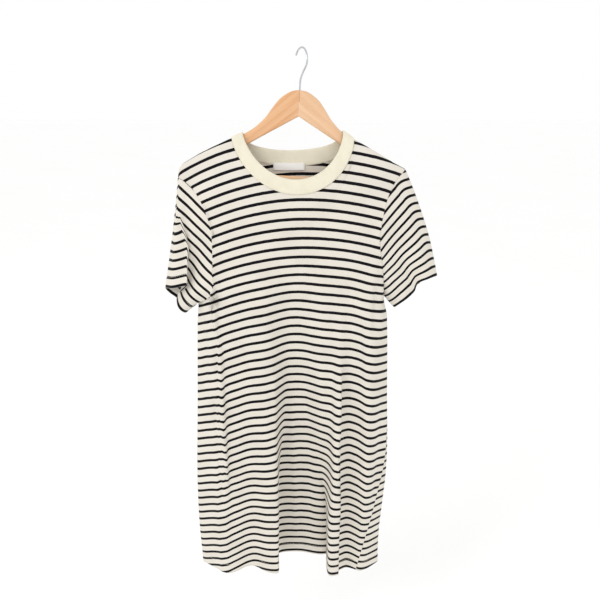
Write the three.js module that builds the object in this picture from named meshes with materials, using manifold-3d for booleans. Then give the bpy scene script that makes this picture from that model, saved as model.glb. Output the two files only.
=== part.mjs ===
// A striped short-sleeved t-shirt dress hanging on a wooden hanger with a wire hook.
// Millimetres, +Z up, +X to the viewer's right, the dress faces -Y. The origin is the inside top of
// the hook, where a rail would carry it.
//
// Every cloth piece is a wall of even thickness about a surface. The surfaces of front, back, sleeves
// and neckband share their seam points, and each piece then steps back half a seam gap.
import * as THREE from "three";
import { mergeVertices } from "three/addons/utils/BufferGeometryUtils.js";
import Module from "manifold-3d";

const wasm = await Module();
wasm.setup();

// Walls and gaps
const CLOTH = 1.6; // knit jersey wall
const RIB = 2.4; // the neckband is folded double
const LABEL = 0.9;
const SEAM_GAP = 0.3; // between pieces that meet at a seam
const SEAT = 0.4; // air between the wood and the cloth that rests on it

// Hanger
const HANGER_TILT = THREE.MathUtils.degToRad(2.65); // it hangs a little low on the right
const ARM_ROUND = 4.5; // rounding of the arm's long edges
const MITRE_GAP = 0.3; // between the two arms
const BAR_RADIUS = 5.5;
const BAR_LEVEL = -215;
const BAR_REACH = 168; // half its length
const WIRE_RADIUS = 1.6;
const HOOK_TURN = THREE.MathUtils.degToRad(-62); // the hook is turned out of the hanger's plane
const STEM_DEPTH = 20; // how far the wire runs down into the wood

// Cloth levels: a row at a level lies lower on the left by CLOTH_LEAN for each mm across
const CLOTH_LEAN = 0.033;
const TIP_LEVEL = -206; // shoulder tip
const UNDERARM_LEVEL = -443.6;
const SHOULDER_ROUND = 11; // radius of the fold over the hanger
const SHOULDER_FALL = 90; // depth below the shoulder where the panels reach their full depth

// Share of the half width that the neck and the shoulder take at the top of a panel
const NECK_SHARE = 0.38;
const TIP_SHARE = 0.68;

// Neck opening, measured from its highest points on the shoulders
const NECK = {
  across: -15.6, // middle of the opening at the shoulders
  swing: 7.4, // how far its lowest point lies to the right of that
  outer: { half: 107, front: 96, back: 50 }, // seam to the panels
  inner: { half: 87.5, front: 80, back: 33 }, // free edge
};

// Triangle budget
const NECK_COLUMNS = 20;
const SHOULDER_COLUMNS = 6;
const ARMHOLE_COLUMNS = 10;
const EDGE_STEPS = [2, 3, 5, 12]; // the first rows below a panel's top edge lie this far apart
const LONGEST_STEP = 28; // and no further, where a column runs along the edge
const PANEL_ROWS = 25;
const SLEEVE_ROWS = 9;
const BAND_ROWS = 3;
const PATH_STEPS = 180;

// Upright outline of one arm by distance from the mitre: top edge and lower edge.
const ARM_OUTLINE = [
  { out: 0, top: -66.6, low: -110.7, thick: 12 },
  { out: 12, top: -68.6, low: -117.5, thick: 12 },
  { out: 22, top: -73.5, low: -123.3, thick: 12 },
  { out: 34.5, top: -83, low: -130.5, thick: 12 },
  { out: 46, top: -97.6, low: -137, thick: 12 },
  { out: 56.5, top: -112.5, low: -143.2, thick: 12 },
  { out: 65, top: -121.8, low: -148, thick: 12 },
  { out: 76, top: -131.8, low: -154.5, thick: 12 },
  { out: 90, top: -141, low: -162.5, thick: 12 },
  { out: 105, top: -148.8, low: -171.5, thick: 12 },
  { out: 122, top: -157, low: -183, thick: 12 },
  { out: 150, top: -171.4, low: -207, thick: 13 },
  { out: 164, top: -178.7, low: -224, thick: 14 },
  { out: 174, top: -184.2, low: -225, thick: 12 },
  { out: 181, top: -189.5, low: -219, thick: 9 },
  { out: 184, top: -194, low: -211, thick: 6 },
];

// The shoulder line past the hanger's ends, out to the shoulder tips.
const PAST_LEFT = [
  { across: -212, height: -190.6 },
  { across: -219, height: -199 },
  { across: -221.7, height: -213.3 },
];
const PAST_RIGHT = [{ across: 185.4, height: -199.9 }];

// Free-standing width of the body by level: silhouette left and right, depth of the panels in front
// of and behind the hanger's plane, and how far the corners between them reach in.
const BODY = [
  { level: -206, left: -262, right: 250, front: 25, back: 17, corner: 50 },
  { level: -300, left: -228, right: 205, front: 25, back: 18, corner: 50 },
  { level: -380, left: -208, right: 178, front: 25, back: 20, corner: 46 },
  { level: -443.6, left: -197.7, right: 158, front: 25, back: 21, corner: 46 },
  { level: -486, left: -201, right: 165.3, front: 25, back: 22, corner: 46 },
  { level: -657, left: -210, right: 173, front: 25, back: 25, corner: 46 },
  { level: -806, left: -218.4, right: 179.5, front: 25, back: 28, corner: 46 },
  { level: -895, left: -221, right: 175, front: 25, back: 30, corner: 46 },
  { level: -972, left: -220.6, right: 169.4, front: 25, back: 32, corner: 46 },
  { level: -1060, left: -217, right: 169.4, front: 25, back: 33, corner: 46 },
];

// Armhole seams on the front; the back's run a little further out at mid height.
const ARMHOLE = [
  { level: -206, left: -221.7, right: 185.4, backOut: 0 },
  { level: -216, left: -206.5, right: 176, backOut: 3 },
  { level: -230, left: -193, right: 166, backOut: 6 },
  { level: -250, left: -180.5, right: 156, backOut: 8 },
  { level: -275, left: -170.3, right: 148.8, backOut: 8 },
  { level: -305, left: -163.6, right: 144.4, backOut: 8 },
  { level: -340, left: -163, right: 143.3, backOut: 8 },
  { level: -380, left: -163.6, right: 149.5, backOut: 6 },
  { level: -410, left: -164.5, right: 153.5, backOut: 3 },
  { level: -430, left: -173, right: 155.6, backOut: 1 },
  { level: -443.6, left: -197.7, right: 158, backOut: 0 },
];

// The right side seam comes round to the front towards the hem: its place along the section,
// counted back from the right silhouette.
const SIDE_SEAM = [
  { level: -700, forward: 0 },
  { level: -800, forward: 12 },
  { level: -900, forward: 34 },
  { level: -1060, forward: 66 },
];

// The deep recess at the middle of the skirt's front: its two edges, how softly each turns, and how
// far its floor lies behind the cloth beside it.
const RECESS = [
  { level: -350, left: -45, leftSoft: 30, right: 20, rightSoft: 30, depth: 0 },
  { level: -433, left: -45, leftSoft: 28, right: 12, rightSoft: 28, depth: 12 },
  { level: -608, left: -40, leftSoft: 15, right: 8, rightSoft: 22, depth: 27 },
  { level: -783, left: -47, leftSoft: 8, right: 28, rightSoft: 30, depth: 38 },
  { level: -900, left: -49, leftSoft: 7, right: 46, rightSoft: 14, depth: 40 },
  { level: -1050, left: -50, leftSoft: 7, right: 58, rightSoft: 8, depth: 40 },
];

// Folds of the skirt: where each runs at the chest and at the hem, how far it reaches to its left
// and right, and how far it stands out at chest, hip and hem. A trough has a negative depth.
const FRONT_FOLDS = [
  { name: "left edge", chest: -166, hem: -160, left: 26, right: 9, out: [7, 8, 3] },
  { name: "left swell", chest: -148, hem: -151, left: 26, right: 26, out: [0, 3, 9] },
  { name: "left trough", chest: -115, hem: -108, left: 24, right: 20, out: [0, 0, -4] },
  { name: "left lobe", chest: -76, hem: -62, left: 26, right: 18, out: [3, 14, 18] },
  { name: "small lobe", chest: 76, hem: 70, left: 9, right: 17, out: [0, 19, 31] },
  { name: "right trough", chest: 92, hem: 101, left: 16, right: 18, out: [-3, -6, -2] },
  { name: "right swell", chest: 146, hem: 136, left: 28, right: 28, out: [17, 22, 13] },
];
const BACK_FOLDS = [
  { name: "back left wave", chest: -128, hem: -136, left: 34, right: 30, out: [3, 9, 13] },
  { name: "back left trough", chest: -78, hem: -84, left: 26, right: 24, out: [0, -3, -6] },
  { name: "back middle wave", chest: -24, hem: -18, left: 34, right: 38, out: [4, 8, 10] },
  { name: "back right trough", chest: 42, hem: 46, left: 24, right: 26, out: [-1, -2, -4] },
  { name: "back right wave", chest: 98, hem: 104, left: 32, right: 26, out: [2, 10, 14] },
];
const FOLD_LEVELS = { none: -330, chest: -433, hip: -783, hem: -1050 };

// The front's hem by distance across; the back's hangs lower between the same side seams.
const FRONT_HEM = [
  { across: -217, height: -1055 },
  { across: -148, height: -1058 },
  { across: -113, height: -1050 },
  { across: -63, height: -1053 },
  { across: -42, height: -1046 },
  { across: 40, height: -1045 },
  { across: 70, height: -1049 },
  { across: 120, height: -1052 },
  { across: 169, height: -1054 },
];
const BACK_HEM_DROP = 16;

// Open end of each sleeve, once round from the outer corner over the front to the inner corner and
// back behind. The left one is folded once along its length.
const LEFT_CUFF = [
  { name: "outer corner", x: -258.7, y: 2, z: -424 },
  { name: "lobe", x: -240, y: -22, z: -417 },
  { name: "lobe edge", x: -214, y: -28, z: -411 },
  { name: "under the lobe", x: -225, y: -13, z: -424 },
  { name: "recess", x: -237, y: -3, z: -438 },
  { name: "second lobe", x: -234, y: -14, z: -457 },
  { name: "inner corner", x: -224, y: -3, z: -471 },
  { name: "behind, inner", x: -222, y: 15, z: -468 },
  { name: "behind", x: -240, y: 25, z: -454 },
  { name: "behind, outer", x: -256, y: 16, z: -437 },
];
const RIGHT_CUFF = [
  { name: "outer corner", x: 253, y: -1, z: -391 },
  { name: "outer lobe", x: 236, y: -21, z: -399 },
  { name: "step", x: 218.5, y: -19, z: -408 },
  { name: "under the step", x: 214, y: -11, z: -425 },
  { name: "inner lobe", x: 200, y: -19, z: -437 },
  { name: "towards the corner", x: 187, y: -15, z: -449 },
  { name: "inner corner", x: 179, y: -2, z: -460 },
  { name: "behind, inner", x: 186, y: 15, z: -456 },
  { name: "behind", x: 214, y: 24, z: -434 },
  { name: "behind, outer", x: 241, y: 16, z: -408 },
];
const CUFF_FRONT_POINTS = 6; // the inner corner's place in those tables
const SLEEVE_HEAD = { out: 12, up: 3 }; // how far the sleeve's head swells past a straight line

// The bare label at the back neck
const LABEL_PLACE = { across: -22.7, top: -190.5, width: 57, height: 13.5, clear: 0.3 };

// Centre line of the wire in the hook's own plane, from the wood up and over to its free end.
const HOOK_BOW = { height: -20, radius: 21.6, from: -14, to: 154 };
const HOOK_STEM = [
  { side: 0, height: -62 },
  { side: 1.5, height: -49 },
  { side: 9, height: -38 },
  { side: 16.5, height: -30.5 },
];

const smooth = (t) => {
  const s = THREE.MathUtils.clamp(t, 0, 1);
  return s * s * (3 - 2 * s);
};
const mix = THREE.MathUtils.lerp;

// Reads one column of a table at a key, smoothly between the rows.
function lookUp(table, key, name, at) {
  const turned = table[0][key] > table[table.length - 1][key] ? -1 : 1;
  const keyOf = (i) => turned * table[i][key];
  const last = table.length - 1;
  const place = THREE.MathUtils.clamp(turned * at, keyOf(0), keyOf(last));
  let i = 0;
  while (i < last - 1 && place > keyOf(i + 1)) i += 1;
  const slopeAt = (j) => {
    const before = Math.max(j - 1, 0);
    const after = Math.min(j + 1, last);
    return (table[after][name] - table[before][name]) / (keyOf(after) - keyOf(before));
  };
  const span = keyOf(i + 1) - keyOf(i);
  const t = (place - keyOf(i)) / span;
  const rise = table[i + 1][name] - table[i][name];
  const bendA = span * slopeAt(i) - rise;
  const bendB = rise - span * slopeAt(i + 1);
  return table[i][name] + t * rise + t * (1 - t) * ((1 - t) * bendA + t * bendB);
}

// A point of the upright hanger as it hangs, tilted about the origin.
function tilted(across, height) {
  const c = Math.cos(HANGER_TILT);
  const s = Math.sin(HANGER_TILT);
  return { across: across * c + height * s, height: height * c - across * s };
}

// The shoulder line on one side, from inside the neck out to the shoulder tip.
const SHOULDER_FROM = 60;
const SHOULDER_TO = 178;
const SHOULDER_LIFT = 1.25; // the panels' fold stands this much off the wood
function shoulderLine(side) {
  const rows = ARM_OUTLINE.filter((r) => r.out > SHOULDER_FROM && r.out < SHOULDER_TO);
  const line = rows.map((r) => {
    const p = tilted(side * r.out, r.top);
    return { across: p.across, height: p.height + SEAT + CLOTH / 2 + SHOULDER_LIFT };
  });
  return line.concat(side < 0 ? PAST_LEFT : PAST_RIGHT);
}
const SHOULDER = { left: shoulderLine(-1), right: shoulderLine(1) };
const SHOULDER_BY_LEVEL = {
  left: SHOULDER.left.map((p) => ({ ...p, level: p.height - CLOTH_LEAN * p.across })),
  right: SHOULDER.right.map((p) => ({ ...p, level: p.height - CLOTH_LEAN * p.across })),
};

// Distance from the shoulder line, seen from the front.
function belowShoulder(x, z) {
  let best = Infinity;
  for (const line of [SHOULDER.left, SHOULDER.right])
    for (let i = 0; i + 1 < line.length; i += 1) {
      const [a, b] = [line[i], line[i + 1]];
      const [dx, dz] = [b.across - a.across, b.height - a.height];
      const along = ((x - a.across) * dx + (z - a.height) * dz) / (dx * dx + dz * dz);
      const t = THREE.MathUtils.clamp(along, 0, 1);
      best = Math.min(best, Math.hypot(x - a.across - t * dx, z - a.height - t * dz));
    }
  return best;
}

// Share of its full depth that a panel has reached near the shoulder.
function shoulderShare(x, z, depth) {
  const below = belowShoulder(x, z);
  const turn = Math.min(below / SHOULDER_ROUND, 1);
  const round = SHOULDER_ROUND * Math.sqrt(1 - (1 - turn) ** 2);
  const fall = smooth((below - SHOULDER_ROUND) / (SHOULDER_FALL - SHOULDER_ROUND));
  return Math.min(1, (round + Math.max(depth - SHOULDER_ROUND, 0) * fall) / depth);
}

// How far one row of a fold table stands out at a place.
function foldOut(fold, x, level) {
  const down = (FOLD_LEVELS.chest - level) / (FOLD_LEVELS.chest - FOLD_LEVELS.hem);
  const middle = mix(fold.chest, fold.hem, THREE.MathUtils.clamp(down, 0, 1));
  const reach = x < middle ? fold.left : fold.right;
  const [chest, hip, hem] = fold.out;
  const depths = [
    { level: FOLD_LEVELS.none, out: 0 },
    { level: FOLD_LEVELS.chest, out: chest },
    { level: FOLD_LEVELS.hip, out: hip },
    { level: FOLD_LEVELS.hem, out: hem },
  ];
  return lookUp(depths, "level", "out", level) * Math.exp(-(((x - middle) / reach) ** 2));
}

function recessDepth(x, level) {
  const row = (name) => lookUp(RECESS, "level", name, level);
  const inLeft = smooth((x - row("left")) / row("leftSoft") / 2 + 0.5);
  const inRight = smooth((x - row("right")) / row("rightSoft") / 2 + 0.5);
  return row("depth") * (inLeft - inRight);
}

const foldsAt = {
  front: (x, level) =>
    FRONT_FOLDS.reduce((sum, f) => sum + foldOut(f, x, level), 0) - recessDepth(x, level),
  back: (x, level) => BACK_FOLDS.reduce((sum, f) => sum + foldOut(f, x, level), 0),
};

// Depth of the front or back at a place across and a level.
const SIDE_ROUNDNESS = 0.45; // 0 brings the two halves together in a sharp fold, 1 in a round one
function faceDepth(face, x, level) {
  const row = (name) => lookUp(BODY, "level", name, level);
  const depth = row(face);
  const inset = Math.min((x - row("left")) / row("corner"), (row("right") - x) / row("corner"), 1);
  const open = 1 - Math.max(inset, 0);
  const full = mix(1 - open, Math.sqrt(1 - open ** 2), SIDE_ROUNDNESS);
  const out = (depth + foldsAt[face](x, level)) * full;
  return (face === "front" ? -1 : 1) * out * shoulderShare(x, level + CLOTH_LEAN * x, depth);
}

// Half a section of the body at a level, from the left silhouette over the front (or the back) to
// the right one, as points with their distance along it.
const pathCache = new Map();
function sectionHalf(face, level) {
  const key = face + level.toFixed(3);
  if (pathCache.has(key)) return pathCache.get(key);
  const [left, right] = ["left", "right"].map((name) => lookUp(BODY, "level", name, level));
  const points = [];
  let along = 0;
  for (let i = 0; i <= PATH_STEPS; i += 1) {
    const x = mix(left, right, i / PATH_STEPS);
    const y = faceDepth(face, x, level);
    const before = points[i - 1];
    if (before) along += Math.hypot(x - before.x, y - before.y);
    points.push({ x, y, along });
  }
  pathCache.set(key, points);
  return points;
}

function alongAtX(path, x) {
  let i = 0;
  while (i < path.length - 2 && path[i + 1].x < x) i += 1;
  const t = (x - path[i].x) / (path[i + 1].x - path[i].x);
  return mix(path[i].along, path[i + 1].along, THREE.MathUtils.clamp(t, 0, 1));
}

function xAtAlong(path, along) {
  let [low, high] = [0, path.length - 1];
  while (high - low > 1) {
    const mid = (low + high) >> 1;
    if (path[mid].along > along) high = mid;
    else low = mid;
  }
  const t = (along - path[low].along) / (path[high].along - path[low].along);
  return mix(path[low].x, path[high].x, THREE.MathUtils.clamp(t, 0, 1));
}

// Along the shoulder line of one side: the height at a place across, and the place at a level.
function alongShoulder(side, key, at, name) {
  const line = SHOULDER_BY_LEVEL[side];
  const falls = line[line.length - 1][key] < line[0][key];
  let i = 0;
  while (i < line.length - 2 && (falls ? line[i + 1][key] > at : line[i + 1][key] < at)) i += 1;
  const [a, b] = [line[i], line[i + 1]];
  return mix(a[name], b[name], THREE.MathUtils.clamp((at - a[key]) / (b[key] - a[key]), 0, 1));
}

// A point on the neck opening's seam ("outer") or free edge ("inner"), by its angle from the middle.
const FRONT_BEND = 1.2;
const BACK_BEND = 0.8;
function neckPoint(edge, face, angle) {
  const size = NECK[edge];
  const low = Math.max(Math.cos(angle), 0);
  const leftTop = alongShoulder("left", "across", NECK.across - size.half, "height");
  const rightTop = alongShoulder("right", "across", NECK.across + size.half, "height");
  const swing = face === "front" ? NECK.swing * low : 0;
  const bend = face === "front" ? FRONT_BEND : BACK_BEND;
  const x = NECK.across + swing + size.half * Math.sin(angle);
  const z = mix(leftTop, rightTop, (Math.sin(angle) + 1) / 2) - size[face] * low ** bend;
  return { x, z, level: z - CLOTH_LEAN * x };
}
const NECK_TOP = {
  left: neckPoint("outer", "front", -Math.PI / 2),
  right: neckPoint("outer", "front", Math.PI / 2),
};

// The upper edge of a panel past the neck, by share of the half width: the shoulder line down to
// the tip, then the armhole down to the underarm, which crowds the columns towards its end.
const crowded = (share) => (smooth(share) + 1 - (1 - share) ** 1.5) / 2;
function uncrowded(value) {
  let [low, high] = [0, 1];
  for (let i = 0; i < 40; i += 1) {
    const middle = (low + high) / 2;
    if (crowded(middle) < value) low = middle;
    else high = middle;
  }
  return low;
}
function levelAtShare(side, share) {
  if (share <= TIP_SHARE)
    return mix(NECK_TOP[side].level, TIP_LEVEL, (share - NECK_SHARE) / (TIP_SHARE - NECK_SHARE));
  return mix(TIP_LEVEL, UNDERARM_LEVEL, crowded((share - TIP_SHARE) / (1 - TIP_SHARE)));
}
function shareAtLevel(side, level) {
  const top = NECK_TOP[side].level;
  if (level >= TIP_LEVEL)
    return mix(NECK_SHARE, TIP_SHARE, Math.max(0, (level - top) / (TIP_LEVEL - top)));
  if (level <= UNDERARM_LEVEL) return 1;
  return mix(TIP_SHARE, 1, uncrowded((level - TIP_LEVEL) / (UNDERARM_LEVEL - TIP_LEVEL)));
}
function edgeAcross(side, face, level) {
  if (level >= TIP_LEVEL) return alongShoulder(side, "level", level, "across");
  const out = face === "back" ? lookUp(ARMHOLE, "level", "backOut", level) : 0;
  return lookUp(ARMHOLE, "level", side, level) + (side === "left" ? -out : out);
}

// A point of the front or back at a level, by its share of the half width: -1 at the left edge, 1
// at the right. The shift moves it along the section.
function panelPoint(face, share, level, shift = 0) {
  const path = sectionHalf(face, level);
  const total = path.at(-1).along;
  let [start, end] = [0, total];
  let beyond = 0;
  if (level > UNDERARM_LEVEL) {
    start = alongAtX(path, edgeAcross("left", face, level));
    end = alongAtX(path, edgeAcross("right", face, level));
  } else {
    beyond = lookUp(SIDE_SEAM, "level", "forward", level);
    end = face === "front" ? total - beyond : total + beyond;
  }
  const middle = (start + end) / 2;
  const fullShare = shareAtLevel(share < 0 ? "left" : "right", level);
  const reach = Math.abs(share) > fullShare - 1e-9 ? 1 : Math.abs(share) / fullShare;
  const along = mix(middle, share < 0 ? start : end, reach) + shift;
  const wraps = along > total + 1e-9;
  const front = sectionHalf("front", level);
  const x = wraps ? xAtAlong(front, front.at(-1).along - (along - total)) : xAtAlong(path, along);
  const onShoulder = level >= TIP_LEVEL && Math.abs(share) >= NECK_SHARE && reach === 1;
  const y = onShoulder ? 0 : faceDepth(wraps ? "front" : face, x, level);
  return { x, y, z: level + CLOTH_LEAN * x };
}

// Angles round the neck from the middle of a panel to the shoulder, closer together over the hanger.
const NECK_CROWD = 1.8;
const neckAngle = (share) => (Math.PI / 2) * Math.sign(share) * (1 - (1 - Math.abs(share)) ** NECK_CROWD);

// Shares of the half width at which a panel has its columns, from left to right.
function panelColumns() {
  const rising = [];
  for (let i = 0; i <= NECK_COLUMNS / 2; i += 1) rising.push(NECK_SHARE * (i / (NECK_COLUMNS / 2)));
  for (let i = 1; i <= SHOULDER_COLUMNS; i += 1)
    rising.push(mix(NECK_SHARE, TIP_SHARE, i / SHOULDER_COLUMNS));
  for (let i = 1; i <= ARMHOLE_COLUMNS; i += 1) rising.push(mix(TIP_SHARE, 1, i / ARMHOLE_COLUMNS));
  return [...rising.slice(1).reverse().map((s) => -s), ...rising];
}
const COLUMNS = panelColumns();
const NECK_FROM = SHOULDER_COLUMNS + ARMHOLE_COLUMNS; // first column that starts on the neck seam

const NECK_SHIFT_FADE = 150; // below the neck seam, columns are back in their even places by here
const LEAST_SLANT = 0.14; // sine of the angle between a column and the edge it starts on

// Where a column starts on a panel's upper edge, and how far it is moved along the section there.
function columnTop(face, share) {
  const side = share < 0 ? "left" : "right";
  if (Math.abs(share) >= NECK_SHARE) return { top: levelAtShare(side, Math.abs(share)), shift: 0 };
  const neck = neckPoint("outer", face, neckAngle(share / NECK_SHARE));
  return { top: neck.level, shift: neck.x - panelPoint(face, share, neck.level).x };
}

function hemLevel(face, share) {
  const levelBelow = (x) => lookUp(FRONT_HEM, "across", "height", x) - CLOTH_LEAN * x;
  const leftHem = levelBelow(FRONT_HEM[0].across);
  const rightHem = levelBelow(panelPoint("front", 1, FOLD_LEVELS.hem).x);
  if (share === -1) return leftHem;
  if (share === 1) return rightHem;
  if (face === "back") return mix(leftHem, rightHem, (share + 1) / 2) - BACK_HEM_DROP * (1 - share ** 2);
  return levelBelow(panelPoint(face, share, FOLD_LEVELS.hem).x);
}

// The surface of the front or back: rows from its upper edge to its hem, columns from left to right.
function panelSurface(face) {
  const at = (share, level, shift) => {
    const p = panelPoint(face, share, level, shift);
    return new THREE.Vector3(p.x, p.y, p.z);
  };
  const tops = COLUMNS.map((share) => {
    const { top, shift } = columnTop(face, share);
    return at(share, top, shift);
  });
  const columns = COLUMNS.map((share, c) => {
    const { top, shift } = columnTop(face, share);
    const edge = tops[Math.min(c + 1, tops.length - 1)].clone().sub(tops[Math.max(c - 1, 0)]).normalize();
    const down = at(share, top - 1, shift).sub(tops[c]).normalize();
    const sine = Math.abs(share) === 1 ? 0 : edge.cross(down).length();
    const slant = Math.max(sine, LEAST_SLANT);
    const levels = [top];
    for (const step of EDGE_STEPS) levels.push(levels.at(-1) - Math.min(step / slant, LONGEST_STEP));
    const evenRows = PANEL_ROWS - EDGE_STEPS.length;
    const evenTop = levels.at(-1);
    for (let i = 1; i <= evenRows; i += 1) levels.push(mix(evenTop, hemLevel(face, share), i / evenRows));
    return levels.map((level) =>
      at(share, level, shift * (1 - smooth((top - level) / NECK_SHIFT_FADE))),
    );
  });
  return columns[0].map((_, i) => columns.map((column) => column[i]));
}

// A closed ring of points round one armhole: down the front from the tip, then up the back.
function armholeRing(side, front, back) {
  const width = COLUMNS.length - 1;
  const tip = side === "left" ? ARMHOLE_COLUMNS : width - ARMHOLE_COLUMNS;
  const end = side === "left" ? 0 : width;
  const step = Math.sign(end - tip);
  const ring = [];
  for (let c = tip; c !== end; c += step) ring.push(front[0][c]);
  for (let c = end; c !== tip; c -= step) ring.push(back[0][c]);
  return ring;
}

function cuffCurve(table) {
  const points = table.map((p) => new THREE.Vector3(p.x, p.y, p.z));
  return new THREE.CatmullRomCurve3(points, true, "centripetal");
}

// A sleeve: rows from the armhole seam to the open cuff, each once round.
function sleeveSurface(ring, cuff) {
  const curve = cuffCurve(cuff);
  const behind = cuff.length - CUFF_FRONT_POINTS;
  const outward = Math.sign(cuff[0].x);
  const rows = [];
  for (let r = 0; r <= SLEEVE_ROWS; r += 1) {
    const down = r / SLEEVE_ROWS;
    rows.push(
      ring.map((from, j) => {
        const round = (2 * j) / ring.length;
        const place = round <= 1 ? round * CUFF_FRONT_POINTS : CUFF_FRONT_POINTS + (round - 1) * behind;
        const to = curve.getPoint(place / cuff.length);
        const swell = 4 * down * (1 - down) * (0.5 + 0.5 * Math.cos(round * Math.PI));
        const p = from.clone().lerp(to, down);
        p.x += outward * SLEEVE_HEAD.out * swell;
        p.z += SLEEVE_HEAD.up * swell;
        return p;
      }),
    );
  }
  return rows;
}

// The neckband: rows from its seam to its free edge, each once round.
function bandSurface(front, back) {
  const count = NECK_COLUMNS;
  const angles = [];
  const angleOf = (k) => neckAngle((2 * k) / count - 1);
  for (let k = 0; k < count; k += 1) angles.push({ face: "front", angle: angleOf(k) });
  for (let k = count; k > 0; k -= 1) angles.push({ face: "back", angle: angleOf(k) });
  const seam = [];
  for (let k = 0; k < count; k += 1) seam.push(front[0][NECK_FROM + k]);
  for (let k = count; k > 0; k -= 1) seam.push(back[0][NECK_FROM + k]);
  const rows = [seam];
  for (let r = 1; r <= BAND_ROWS; r += 1)
    rows.push(
      angles.map(({ face, angle }, k) => {
        const inner = neckPoint("inner", face, angle);
        const x = mix(seam[k].x, inner.x, r / BAND_ROWS);
        const z = mix(seam[k].z, inner.z, r / BAND_ROWS);
        return new THREE.Vector3(x, faceY(face, x, z), z);
      }),
    );
  return rows;
}

// Depth of the front or back's flat upper part at a place seen from the front.
function faceY(face, x, z) {
  const depth = lookUp(BODY, "level", face, z - CLOTH_LEAN * x);
  return (face === "front" ? -1 : 1) * depth * shoulderShare(x, z, depth);
}

// Normals of every surface's points, shared where pieces meet at a seam.
function sharedNormals(surfaces) {
  const sums = new Map();
  const keyOf = (p) => [p.x, p.y, p.z].map((v) => v.toFixed(2)).join(",");
  for (const { rows, closed, turned } of surfaces) {
    const wide = rows[0].length;
    const across = closed ? wide : wide - 1;
    for (let r = 0; r + 1 < rows.length; r += 1)
      for (let c = 0; c < across; c += 1) {
        const d = (c + 1) % wide;
        const [a, b, e, f] = [rows[r][c], rows[r][d], rows[r + 1][d], rows[r + 1][c]];
        const normal = e.clone().sub(a).cross(f.clone().sub(b));
        if (turned) normal.negate();
        for (const p of [a, b, e, f]) {
          const key = keyOf(p);
          if (!sums.has(key)) sums.set(key, new THREE.Vector3());
          sums.get(key).add(normal.clone().normalize());
        }
      }
  }
  for (const n of sums.values()) n.normalize();
  return (p) => sums.get(keyOf(p));
}

// Close to a seam the wall's direction goes over into the one that both sides of the seam share.
const SEAM_BLEND = 5;
function nearSeam(p, seam, closed, own, normalOf) {
  let best = SEAM_BLEND;
  let shared = own;
  for (let c = 0; c < seam.length - (closed ? 0 : 1); c += 1) {
    const [a, b] = [seam[c], seam[(c + 1) % seam.length]];
    const line = new THREE.Line3(a, b);
    const t = line.closestPointToPointParameter(p, true);
    const away = line.at(t, new THREE.Vector3()).distanceTo(p);
    if (away >= best) continue;
    best = away;
    shared = normalOf(a).clone().lerp(normalOf(b), t);
  }
  return shared.clone().lerp(own, smooth(best / SEAM_BLEND)).normalize();
}

// A wall of even thickness about a surface. Its seam edges step back half a seam gap.
function wallGeometry({ rows, closed, turned, seams }, normalOf, thickness) {
  const wide = rows[0].length;
  const high = rows.length;
  const stepBack = (p, before, after, inside) => {
    const edge = after.clone().sub(before).normalize();
    const away = edge.cross(normalOf(p)).normalize();
    if (away.dot(inside.clone().sub(p)) < 0) away.negate();
    return away.multiplyScalar(SEAM_GAP / 2);
  };
  const normals = rows.map((row, r) =>
    row.map((p) => {
      const own = normalOf(p);
      return seams.top && r > 0 && r < high / 2 ? nearSeam(p, rows[0], closed, own, normalOf) : own;
    }),
  );
  const placed = rows.map((row, r) =>
    row.map((p, c) => {
      const q = p.clone();
      if (r === 0 && seams.top) {
        const left = closed ? (c + wide - 1) % wide : Math.max(c - 1, 0);
        const right = closed ? (c + 1) % wide : Math.min(c + 1, wide - 1);
        q.add(stepBack(p, row[left], row[right], rows[2][c]));
      }
      if (seams.sides && (c === 0 || c === wide - 1)) {
        const [up, down] = [rows[Math.max(r - 1, 0)][c], rows[Math.min(r + 1, high - 1)][c]];
        q.add(stepBack(p, up, down, row[c === 0 ? 1 : c - 1]));
      }
      return q;
    }),
  );
  const positions = [];
  for (const offset of [thickness / 2, -thickness / 2])
    for (let r = 0; r < high; r += 1)
      for (let c = 0; c < wide; c += 1) {
        const p = placed[r][c].clone().addScaledVector(normals[r][c], offset);
        positions.push(p.x, p.y, p.z);
      }
  const at = (layer, r, c) => layer * high * wide + r * wide + (c % wide);
  const index = [];
  const quad = (a, b, c, d) => index.push(...(turned ? [a, c, b, a, d, c] : [a, b, c, a, c, d]));
  const across = closed ? wide : wide - 1;
  for (let r = 0; r + 1 < high; r += 1)
    for (let c = 0; c < across; c += 1) {
      quad(at(0, r, c), at(0, r, c + 1), at(0, r + 1, c + 1), at(0, r + 1, c));
      quad(at(1, r, c), at(1, r + 1, c), at(1, r + 1, c + 1), at(1, r, c + 1));
    }
  for (let c = 0; c < across; c += 1) {
    quad(at(0, 0, c), at(1, 0, c), at(1, 0, c + 1), at(0, 0, c + 1));
    quad(at(0, high - 1, c), at(0, high - 1, c + 1), at(1, high - 1, c + 1), at(1, high - 1, c));
  }
  if (!closed)
    for (let r = 0; r + 1 < high; r += 1) {
      quad(at(0, r, 0), at(0, r + 1, 0), at(1, r + 1, 0), at(1, r, 0));
      quad(at(0, r, wide - 1), at(1, r, wide - 1), at(1, r + 1, wide - 1), at(0, r + 1, wide - 1));
    }
  const geometry = new THREE.BufferGeometry();
  geometry.setAttribute("position", new THREE.Float32BufferAttribute(positions, 3));
  geometry.setIndex(index);
  geometry.computeVertexNormals();
  return geometry;
}

// The bare label lies on the inside of the back neckband, across its seam.
function labelSurface() {
  const steps = 6;
  const rows = [];
  for (const z of [LABEL_PLACE.top, LABEL_PLACE.top - LABEL_PLACE.height]) {
    const row = [];
    for (let i = 0; i <= steps; i += 1) {
      const x = LABEL_PLACE.across + LABEL_PLACE.width * (i / steps - 0.5);
      const inside = RIB / 2 + LABEL_PLACE.clear + LABEL / 2;
      row.push(new THREE.Vector3(x, faceY("back", x, z) - inside, z));
    }
    rows.push(row);
  }
  return rows;
}

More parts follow.
